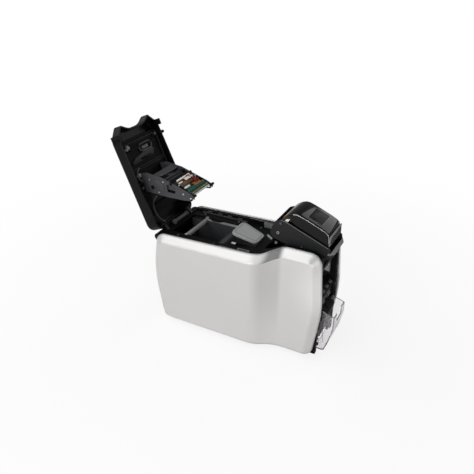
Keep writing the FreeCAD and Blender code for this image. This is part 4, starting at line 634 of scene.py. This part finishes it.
class CARDPRINTER_OT_lid_moulding(bpy.types.Operator):
    """Mould the grip loop, ribs, patches and knob inside the lid"""
    bl_idname = "card_printer.lid_moulding"
    bl_label = "Lid moulding"

    def execute(self, context):
        long = context.scene.card_printer_sizes.grip_long / MM
        place = RAISED_LID
        with new_piece("lid_grip_loop", "grey", "lid", "grey_moulding", 0.7, place) as bm:
            plate(bm, (10 - long / 2, 17, 219.6), (10 + long / 2, 34, LID_FACE), 8, 2.6)
        with new_piece("lid_grip_pad", "trim", "lid", "grey_moulding", 0.3, place) as bm:
            plate(bm, (0, 21.5, 221.6), (19, 29.5, LID_FACE), 3)
            for x in range(3, 16, 3):
                box(bm, (x, 22.5, 220.8), (x + 1.2, 28.5, 222))
        with new_piece("lid_catch_patches", "trim", "lid", "grey_moulding", 0.6, place) as bm:
            slab(bm, [(-50, 13), (-38, 11), (-34, 16), (-38, 22), (-48, 20)], "Z", 220.5, LID_FACE)
            rod(bm, (-42, 72.7, LID_FACE), (-42, 72.7, 216.5), 4.2, 3.8)
        with new_piece("lid_raised_panel", "inner", "lid", "dark_moulding", 0.9, place) as bm:
            slab(bm, [(-44, 46), (-30, 39), (8, 33), (28, 33), (32, 37), (26, 47), (-8, 50), (-42, 51)], "Z",
                 220.4, LID_FACE)
        with new_piece("lid_curved_guide", "grey", "lid", "grey_moulding", place=place) as bm:
            tube(bm, [(-30 + 14 * math.cos(a), 74 + 14 * math.sin(a), 221.5) for a in
                      (math.pi * (0.55 + step * 0.1) for step in range(10))], 2.0)
        with new_piece("lid_ribs", "inner", "lid", "dark_moulding", 0.3, place) as bm:
            for y in (8, 58, 62, 88, 94):
                box(bm, (-52, y, 219.8), (52, y + 1.4, LID_FACE))
            for x in (-54, 54):
                box(bm, (x - 0.7, 6, 219.0), (x + 0.7, 98, LID_FACE))
        with new_piece("lid_screw_bosses", "inner", "lid", "dark_moulding", 0.3, place) as bm:
            for x, y in product((-48, 48), (12, 98)):
                washer(bm, (x, y, LID_FACE), (x, y, 217.5), 3.6, 1.6)
        with new_piece("lid_screws", "steel", "lid", "steel", place=place) as bm:
            for x, y in product((-48, 48), (12, 98)):
                screw(bm, (x, y, 217.6), (0, 0, -1))
        with new_piece("lid_catch_knob", "black", "lid", "black_casing", 0.8, place) as bm:
            rod(bm, (62, 14.2, 214.8), (69.5, 14.2, 214.8), 2.4)
            rod(bm, (67.5, 14.2, 214.8), (72.5, 14.2, 214.8), 3.6, 3.0)
        return {"FINISHED"}


class CARDPRINTER_OT_hinge_duct(bpy.types.Operator):
    """Run the cable duct over the hinge and close the gap behind it"""
    bl_idname = "card_printer.hinge_duct"
    bl_label = "Hinge duct"

    def execute(self, context):
        place = RAISED_LID
        path = [(120.4, 200.6), (122, 204.5), (124.5, 208.5), (129, 214), (134, 218.5), (141, 221),
                (148, 222), (155, 222), (161, 221), (166, 218.8), (170, 215.5), (174, 210.5), (177, 205.5)]
        with new_piece("hinge_cable_duct", "grey", "lid", "grey_moulding", 0.5, place) as bm:
            band(bm, path, -39.4, -36.4, 2.4)
        with new_piece("hinge_curtain", "inner", "lid", "dark_moulding") as bm:
            centre = Vector((0, 180, 208))
            start = centre + Matrix.Rotation(math.radians(-70), 3, "X") @ Vector((0, 14.5, 0))
            ends = [bm.verts.new(start + Vector((x, 0, 0))) for x in (-38, 38)]
            bmesh.ops.spin(bm, geom=[bm.edges.new(ends), *ends], cent=centre, axis=(1, 0, 0),
                           angle=math.radians(34), steps=8)
            bmesh.ops.solidify(bm, geom=list(bm.faces), thickness=1.2)
        return {"FINISHED"}


class CARDPRINTER_OT_head_parts(bpy.types.Operator):
    """Fit the print head with its rods, springs, wiring and components"""
    bl_idname = "card_printer.head_parts"
    bl_label = "Print head parts"

    def execute(self, context):
        place = HEAD_PLANE
        with new_piece("head_wire_housing", "white", "head", "white_plastic", 0.4, place) as bm:
            box(bm, (-20, 33.5, 3.2), (24, 36.8, 6.8))
            box(bm, (-24, 26.0, 3.2), (-12, 29.0, 5.4))
        with new_piece("head_contacts", "gold", "head", "alloy", 0.1, place) as bm:
            for x in (-21.5 + step * 3 for step in range(15)):
                box(bm, (x, 32.4, 4.6), (x + 1, 33.8, 5.4))
        with new_piece("head_film_strips", "amber", "head", "amber_film", 0.2, place) as bm:
            for y in (17.2, 20.6, 24.0):
                box(bm, (-27, y, 3.6), (12, y + 1.3, 4.9))
        with new_piece("head_film_cover", "black", "head", "dark_moulding", 0.3, place) as bm:
            box(bm, (-27.5, 15.5, 3.0), (27, 31.5, 4.2))
            box(bm, (-27.5, 37.5, 3.0), (27, 46, 5.0))
            for x in (-18, -6, 8, 20):
                rod(bm, (x, 40, 5), (x, 44.5, 5), 1.6)
        with new_piece("head_fuse_block", "white", "head", "white_plastic", 0.5, place) as bm:
            box(bm, (-26, 10.2, 0.2), (-9, 14.4, 3.2))
        with new_piece("head_red_wiring", "red", "head", "rubber", place=place) as bm:
            for x, y, tall in ((11, 12, 6.0), (15.5, 14, 7.0), (20, 11.5, 5.5), (24, 15, 5.0)):
                rod(bm, (x, y, 0), (x, y, tall), 1.7, 1.5)
            tube(bm, [(8, 34, 7), (11, 30, 9), (13, 24, 8.5), (13, 18, 7.5), (11, 12, 5.5)], 0.7)
            tube(bm, [(12, 34, 7), (17, 29, 9.5), (18, 22, 9), (17, 16, 8), (15.5, 14, 6.5)], 0.7)
        with new_piece("head_board_chips", "chip", "head", "chip_black", 0.15, place) as bm:
            for x in (-25, -17.5, -9, -2, 6, 14, 22):
                box(bm, (x - 2.2, -3.5, 0), (x + 2.2, -0.3, 1.3))
            for x in (-21, -13, -5, 3, 11, 18.5, 26):
                box(bm, (x - 1.0, 3.6, 0), (x + 1.0, 5.0, 0.8))
        with new_piece("head_board_pads", "gold", "head", "alloy", place=place) as bm:
            for x in (-28.4 + step * 2.2 for step in range(26)):
                box(bm, (x, -8.3, -0.1), (x + 1.1, -5.6, 0.25))
            for x in (-29, 29):
                screw(bm, (x, 5, 0), (0, 0, 1), 1.9, 1.0)
        with new_piece("head_springs", "bright", "head", "steel", place=place) as bm:
            for x in (-29.6, 29.6):
                spring(bm, (x, 24, -1.5), (x, 24, 6.5), 1.8, 0.35, 6)
        with new_piece("head_side_rails", "black", "head", "dark_moulding", 0.4, place) as bm:
            for x in (-31.4, 31.4):
                box(bm, (x - 0.9, 2, -3), (x + 0.9, 60, 3.5))
                box(bm, (x - 0.9, -13, -4), (x + 0.9, 2, 0.5))
        self.arm_parts()
        return {"FINISHED"}

    def arm_parts(self):
        """Rods, bail, prongs and rivets that the lid carries around the head."""
        with new_piece("head_cross_rods", "black", "lid", "steel", 0.3) as bm:
            for y, z, radius in ((206, 283, 2.2), (194, 301, 1.8), (214, 296, 1.6), (176, 299.5, 1.5)):
                rod(bm, (-35, y, z), (35, y, z), radius)
        with new_piece("head_bail", "grey", "lid", "dark_moulding") as bm:
            tube(bm, [(-30, 196, 297), (-30, 190, 306), (-28, 184, 309), (-22, 181.5, 310), (10, 181.5, 310),
                      (17, 184, 309), (19, 190, 306), (19, 196, 297)], 1.5)
        with new_piece("head_arm_studs", "black", "lid", "dark_moulding", 0.5) as bm:
            for side in (-1, 1):
                rod(bm, (side * 30.5, 109.5, 281.5), (side * ARM_SIDE, 109.5, 281.5), 2.9, 2.6)
                rod(bm, (side * 33, 116, 272), (side * ARM_SIDE, 116, 272), 2.0)
                rod(bm, (side * 35, 162, 296.5), (side * ARM_SIDE, 162, 296.5), 3.2)
                rod(bm, (side * 35, 205, 281), (side * 36.9, 205, 281), 3.8)
        with new_piece("head_arm_screws", "bright", "lid", "steel") as bm:
            for side, (y, z) in product((-1, 1), ((134, 281), (190, 273.5), (212, 296), (180, 297))):
                screw(bm, (side * 35.5, y, z), (side, 0, 0), 1.8, 0.9)
        with new_piece("head_arm_plates", "grey", "lid", "dark_moulding", 0.4) as bm:
            for side in (-1, 1):
                slab(bm, [(176, 275), (199, 277), (207, 297), (190, 300), (179, 290)], "X", side * 35.5,
                     side * ARM_SIDE)
        with new_piece("head_pivot_springs", "bright", "lid", "steel") as bm:
            for x in (-30, 14):
                spring(bm, (x, 200, 290), (x + 16, 200, 290), 2.6, 0.5, 8)


class CARDPRINTER_OT_bay_parts(bpy.types.Operator):
    """Add the details round the ribbon bay and on the cassette grip"""
    bl_idname = "card_printer.bay_parts"
    bl_label = "Ribbon bay details"

    def execute(self, context):
        wide = context.scene.card_printer_sizes.rim_wide
        with new_piece("grip_border", "trim", "cassette", "light_grey", scale=1) as bm:
            raised_rim(bm, "cassette_grip", (0, -0.286, 0.958), 0.0024, wide, 0.0004)
        with new_piece("bay_front_sill", "inner", "chassis", "dark_moulding", 0.8) as bm:
            box(bm, (-40.6, 39.4, 189.5), (40.6, 46.2, 196.8))
        with new_piece("ribbon_release_tab", "white", "chassis", "white_plastic", 0.4) as bm:
            box(bm, (-33, 23, DECK), (-28, 32, 199.2))
        with new_piece("deck_diagonal_rail", "pale", "chassis", "light_grey", 0.5) as bm:
            slab(bm, [(26, -17), (28.5, -18.5), (9, -45.5), (5.8, -44)], "Z", DECK, 201)
            rod(bm, (6.5, -45, DECK), (6.5, -45, 201.4), 3.2, 2.8)
        with new_piece("ribbon_guide_floor", "grey", "chassis", "dark_moulding", 0.4) as bm:
            band(bm, [(47, 188.6), (56, 187.6), (64, 184.6), (71, 179.6), (76.5, 173), (80, 165), (82, 156)],
                 -35, 35, 2)
        with new_piece("bay_frame_bosses", "pale", "chassis", "light_grey", 0.4) as bm:
            for x in (-41.2, 41.2):
                rod(bm, (x, 128, 195.8), (x, 128, 198.6), 3.6, 3.2)
                screw(bm, (x, 128, 198.4), (0, 0, 1), 2.1, 0.9)
            box(bm, (-38, 129.2, 195.9), (38, 131.2, 197.0))
        with new_piece("rear_guide_roller", "grey", "chassis", "grey_moulding", 0.4) as bm:
            rod(bm, (-16, 171, 204.5), (26, 171, 204.5), 4.2)
            for x in (-19, 26):
                rod(bm, (x, 171, 204.5), (x + 3, 171, 204.5), 5.4)
            for x in (-17.5, 26):
                box(bm, (x, 168.5, 199.8), (x + 2, 173.5, 204.5))
        with new_piece("deck_ledges", "grey", "chassis", "grey_moulding", 0.4) as bm:
            for x in (-63.4, 58.5):
                box(bm, (x, 44, DECK), (x + 4.9, 150, 199.4))
            for y in (56, 80, 104, 128):
                box(bm, (60.4, y, 199.2), (63.4, y + 10, 202.4))
        with new_piece("deck_screws", "steel", "chassis", "steel") as bm:
            for side, (x, y) in product((-1, 1), ((53, 60), (53, 140), (50, 8))):
                screw(bm, (side * x, y, 198), (0, 0, 1))
        with new_piece("deck_rim_pads", "trim", "chassis", "grey_moulding", 0.3) as bm:
            for x in (-64.6, 64.6):
                box(bm, (x - 0.9, 6, 206.6), (x + 0.9, 40, 207.4))
        return {"FINISHED"}


class CARDPRINTER_OT_feeder_parts(bpy.types.Operator):
    """Trim the feeder's hood and cradle, and paint a highlight strip along the hood's creases"""
    bl_idname = "card_printer.feeder_parts"
    bl_label = "Feeder trim"

    def execute(self, context):
        radius = context.scene.card_printer_sizes.crease_highlight_wide / MM / 2
        self.hood()
        # Painted highlight: a thin bright strip along each crease of the hood, standing for the glint there
        with new_piece("hood_crease_highlight", "bright", "hood", "light_grey") as bm:
            for x in (-29.9, 29.9):
                tube(bm, [(x, -91, 286.6), (x, -98, 287.4), (x, -106, 285.4), (x, -118, 281),
                          (x, -132, 275.2), (x, -146, 269.2), (x, -153.5, 265.4), (x, -157.6, 261.6),
                          (x, -159.4, 256.5), (x, -160.2, 246)], radius)
        with new_piece("hood_window_rim", "gloss", "hood", "black_casing", 0.2, HOOD_PLANE) as bm:
            plate(bm, (-22, -34, -0.6), (21, -3, 0.5), 4, 1.2)
        with new_piece("hood_window", "black", "hood", "smoky_plastic", 0.1, HOOD_PLANE) as bm:
            plate(bm, (-20.6, -32.6, -0.6), (19.6, -4.4, 0.2), 3)
        with new_piece("cradle_edge_trim", "trim", "feeder", "grey_moulding") as bm:
            for x in (-34.1, 34.1):
                tube(bm, [(x, -69.5, 272.1), (x, -77.5, 272.0), (x, -100, 262.9), (x, -130, 250.8),
                          (x, -161, 238.1)], 0.55)
        with new_piece("cradle_side_bosses", "pale", "feeder", "light_grey", 0.2) as bm:
            for side in (-1, 1):
                washer(bm, (side * 33.8, -65.4, 246.6), (side * 35.1, -65.4, 246.6), 2.6, 1.5)
        # Painted light: two white patches on the hood's side walls near its rear, standing for the bright
        # background showing through the smoky plastic
        with new_piece("hood_see_through_patches", "white", "feeder", "white_plastic", 0.2) as bm:
            slab(bm, [(-84, 262), (-80, 268), (-70, 268), (-58, 254), (-56, 243), (-64, 240)], "X",
                 29.8, 31.3)
            slab(bm, [(-66.5, 265.5), (-71.5, 268.5), (-80, 275.5), (-86, 277), (-84, 272), (-76, 266.5),
                      (-69, 263)], "X", -31.2, -30.4)
        with new_piece("cradle_screws", "steel", "feeder", "steel") as bm:
            for side, (y, z) in product((-1, 1), ((-112, 230), (-152, 216))):
                screw(bm, (side * 34, y, z), (side, 0, 0), 2.2, 1.0)
        with new_piece("hood_face_ribs", "grey", "hood", "grey_moulding", 0.2) as bm:
            for x in range(-24, 25, 6):
                box(bm, (x - 0.6, -164.4, 243), (x + 0.6, -162.2, 256))
        return {"FINISHED"}

    def hood(self):
        """The rounded hood: its side view drawn across, softened, opened below and given a wall."""
        with new_piece("rounded_hood", "smoky", "hood", "smoky_plastic") as bm:
            slab(bm, HOOD_TOP + HOOD_UNDER, "X", -HOOD_SIDE, HOOD_SIDE)
            bmesh.ops.recalc_face_normals(bm, faces=bm.faces)
            spots = {(round(y, 3), round(z, 3)) for y, z in HOOD_UNDER}
            below = {v for v in bm.verts if (round(v.co.y, 3), round(v.co.z, 3)) in spots}
            lower = [f for f in bm.faces if abs(f.normal.x) < 0.5 and below.issuperset(f.verts)]
            crown = [e for e in bm.edges if below.isdisjoint(e.verts)
                     and len({f for f in e.link_faces if abs(f.normal.x) > 0.5}) == 1]
            bmesh.ops.delete(bm, geom=lower, context="FACES")
            bmesh.ops.bevel(bm, geom=crown, offset=3.2, segments=4, profile=0.5, material=-1, affect="EDGES",
                            clamp_overlap=True)
            bmesh.ops.solidify(bm, geom=list(bm.faces), thickness=1.5)
            bmesh.ops.remove_doubles(bm, verts=bm.verts, dist=0.02)
            bmesh.ops.holes_fill(bm, edges=[e for e in bm.edges if len(e.link_faces) == 1], sides=0)
        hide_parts("feeder_hood")


class CARDPRINTER_OT_front_parts(bpy.types.Operator):
    """Fit out the card exit and the hopper"""
    bl_idname = "card_printer.front_parts"
    bl_label = "Exit and hopper details"

    def execute(self, context):
        with new_piece("front_hook", "black", "chassis", "black_casing", 0.6) as bm:
            slab(bm, [(-155, 201), (-150, 201), (-149, 184), (-152.5, 176), (-156, 180), (-153, 184)], "X",
                 -44, -38)
        with new_piece("exit_pinch_wheels", "grey", "chassis", "rubber", 0.5) as bm:
            for x in (-30, -10, 10, 30):
                rod(bm, (x - 5, -150.5, 128.2), (x + 5, -150.5, 128.2), 4.6)
        with new_piece("exit_lip_ribs", "black", "chassis", "black_casing", 0.3) as bm:
            for x in (-38, -22, -2, 18, 36):
                slab(bm, [(-158, 99), (-163, 91), (-160, 88), (-153, 97)], "X", x, x + 2)
        with new_piece("back_plate_ribs", "grey", "chassis", "grey_moulding", 0.2) as bm:
            for x in (-16, -8, 0, 8, 16):
                slab(bm, [(-162.2, 80), (-164.0, 78), (-155.5, 32), (-153.0, 30)], "X", x - 0.7, x + 0.7)
        with new_piece("hopper_edge_lines", "grey", "hopper", "clear_plastic") as bm:
            for x in (-29.4, 29.4):
                tube(bm, [(x, -160, 100.4), (x, -171, 97.2), (x, -182, 93.6), (x, -183.6, 90.5),
                          (x, -183.7, 78.5), (x, -182.9, 66), (x, -177.4, 39), (x, -175.3, 31),
                          (x, -169.6, 14.8), (x, -164, 11)], 0.5)
        with new_piece("hopper_stop_line", "grey", "hopper", "clear_plastic") as bm:
            tube(bm, [(-28, -183.8, 77.6), (28, -183.8, 77.6)], 0.5)
            tube(bm, [(-28.4, -166, 30), (-28.4, -163, 62), (-28.4, -162.5, 84)], 0.45)
        with new_piece("hopper_clips", "black", "hopper", "black_casing", 0.5) as bm:
            for x in (-29, 26.5):
                box(bm, (x, -157.5, 17), (x + 2.5, -152.5, 24))
        with new_piece("front_screws", "steel", "chassis", "steel") as bm:
            for z, x in product((40, 60, 120, 160, 190), (-45, 45)):
                screw(bm, (x, -158, z), (0, -1, 0), 1.9, 0.9)
        return {"FINISHED"}


class CARDPRINTER_OT_rear_parts(bpy.types.Operator):
    """Fit the rear sockets, the fan grille and the screws behind and below"""
    bl_idname = "card_printer.rear_parts"
    bl_label = "Rear and underside details"

    def execute(self, context):
        with new_piece("fan_grille", "bright", "chassis", "steel") as bm:
            centre = Vector((0, 178.2, 131))
            angles = [math.tau * step / 32 for step in range(32)]
            spokes = [Vector((math.cos(angle), 0, math.sin(angle))) for angle in angles]
            for radius in (5.5, 10, 14.5):
                tube(bm, [centre + spoke * radius for spoke in spokes], 0.6, 8, True)
            for spoke in (spokes[4], spokes[12]):
                rod(bm, centre - spoke * 17, centre + spoke * 17, 0.7)
        with new_piece("socket_contacts", "gold", "chassis", "alloy") as bm:
            rod(bm, (-43.9, 172, 62), (-43.9, 183, 62), 1.1, 0.8)
            for x in (-23.4 + step * 1.02 for step in range(8)):
                tube(bm, [(x, 183.5, 66.6), (x, 178, 64.4), (x, 173, 65.8)], 0.22, 6)
            for x in (2.6, 4.8):
                box(bm, (x, 175, 63.4), (x + 1.1, 182.5, 63.8))
        with new_piece("usb_tongue", "white", "chassis", "white_plastic", 0.3) as bm:
            box(bm, (1.4, 172, 60.6), (7.1, 183.2, 63.5))
        with new_piece("rear_screws", "steel", "chassis", "steel") as bm:
            for x, z in product((-62, 62), (64, 168)):
                screw(bm, (x, 183.0, z), (0, 1, 0), 2.6, 1.3)
        with new_piece("tray_screws", "steel", "chassis", "steel") as bm:
            for side, (x, y) in product((-1, 1), ((58, -20), (58, 140), (40, -130))):
                screw(bm, (side * x, y, 6.6), (0, 0, -1), 2.8, 1.4)
        with new_piece("tray_vent_louvres", "inner", "chassis", "dark_moulding", 0.2) as bm:
            for x in range(-30, 27, 7):
                plate(bm, (x, 40, 5.4), (x + 4, 92, 6.5), 1.9)
        return {"FINISHED"}


class CARDPRINTER_OT_stage(bpy.types.Operator):
    """Add the floor, the lamps and the camera"""
    bl_idname = "card_printer.stage"
    bl_label = "Set the stage"

    def execute(self, context):
        scene = context.scene
        self.floor(scene, scene.card_printer_sizes.stage_size)
        self.room(scene)
        for name, (kind, place, aim, power, settings) in LAMPS.items():
            lamp = bpy.data.lights.new(name, kind)
            lamp.energy = power
            for setting, value in settings.items():
                setattr(lamp, setting, value)
            self.look(scene, name, lamp, place, Vector(aim) - Vector(place))

        camera = bpy.data.cameras.new("photo_camera")
        camera.sensor_width = SENSOR_WIDE
        camera.lens = FOCAL_PIXELS / PHOTO_WIDE * SENSOR_WIDE
        level = math.cos(CAMERA_PITCH)
        ahead = (math.cos(CAMERA_YAW) * level, math.sin(CAMERA_YAW) * level, -math.sin(CAMERA_PITCH))
        scene.camera = self.look(scene, "photo_camera", camera, CAMERA_PLACE, ahead)
        scene.view_settings.view_transform = "Standard"
        return {"FINISHED"}

    def look(self, scene, name, data, place, ahead):
        """A lamp or camera at a place, facing ahead."""
        made = bpy.data.objects.new(name, data)
        made.location = place
        made.rotation_euler = Vector(ahead).to_track_quat("-Z", "Y").to_euler()
        scene.collection.objects.link(made)
        return made

    def floor(self, scene, size):
        """A pale floor that keeps the shadow near the printer and is plain white far away."""
        bm = bmesh.new()
        bmesh.ops.create_grid(bm, x_segments=1, y_segments=1, size=size / 2)
        mesh = bpy.data.meshes.new("floor")
        bm.to_mesh(mesh)
        bm.free()
        floor = bpy.data.objects.new("floor", mesh)
        scene.collection.objects.link(floor)
        surface = Finish("pale_floor", (0.86, 0.84, 0.84), 0.9)
        glossy = surface.node("LightPath", {}, {}, "Is Glossy Ray")
        glow = surface.node("Emission", {}, {"Color": (1, 1, 1), "Strength": 1.0})
        plain = Value(surface, surface.shader.outputs[0])
        across, along = surface.axis("X"), surface.axis("Y")
        away = surface.node("Math", {"operation": "SQRT"}, {0: across * across + along * along})
        white = surface.seen() * (away.step(0.25, 1.1) * 0.16 + 0.84) + glossy * 0.2
        blended = surface.node("MixShader", {}, {0: white, 1: plain, 2: glow})
        surface.feed(surface.tree.nodes["Material Output"].inputs["Surface"], blended)
        mesh.materials.append(surface.material)

    def room(self, scene):
        """A white room that is seen at full strength and lights the printer only a little."""
        scene.world = bpy.data.worlds.new("pale_room")
        scene.world.use_nodes = True
        sky = Nodes(scene.world.node_tree)
        back = sky.tree.nodes["Background"]
        sky.feed(back.inputs["Color"], (1, 1, 1))
        sky.feed(back.inputs["Strength"], sky.seen() * (1 - WORLD_LIGHT) + WORLD_LIGHT)


class CARDPRINTER_PT_panel(bpy.types.Panel):
    """Lists the printer's pieces and settings"""
    bl_label = "Card printer"
    bl_space_type = "VIEW_3D"
    bl_region_type = "UI"
    bl_category = "Card printer"

    def draw(self, context):
        layout = self.layout
        for settings in (context.scene.card_printer_colours, context.scene.card_printer_sizes):
            for name in settings.__annotations__:
                layout.prop(settings, name)
        for operator in OPERATORS:
            layout.operator(operator.bl_idname)


OPERATORS = (CARDPRINTER_OT_solids, CARDPRINTER_OT_lid_moulding, CARDPRINTER_OT_hinge_duct,
             CARDPRINTER_OT_head_parts, CARDPRINTER_OT_bay_parts, CARDPRINTER_OT_feeder_parts,
             CARDPRINTER_OT_front_parts, CARDPRINTER_OT_rear_parts, CARDPRINTER_OT_stage)
CLASSES = (CardPrinterColours, CardPrinterSizes, *OPERATORS, CARDPRINTER_PT_panel)


def register():
    for cls in CLASSES:
        bpy.utils.register_class(cls)
    bpy.types.Scene.card_printer_colours = PointerProperty(type=CardPrinterColours)
    bpy.types.Scene.card_printer_sizes = PointerProperty(type=CardPrinterSizes)


def unregister():
    del bpy.types.Scene.card_printer_sizes
    del bpy.types.Scene.card_printer_colours
    for cls in reversed(CLASSES):
        bpy.utils.unregister_class(cls)


def main():
    register()
    bpy.ops.card_printer.solids()
    bpy.ops.card_printer.lid_moulding()
    bpy.ops.card_printer.hinge_duct()
    bpy.ops.card_printer.head_parts()
    bpy.ops.card_printer.bay_parts()
    bpy.ops.card_printer.feeder_parts()
    bpy.ops.card_printer.front_parts()
    bpy.ops.card_printer.rear_parts()
    bpy.ops.card_printer.stage()


if __name__ == "__main__":
    main()
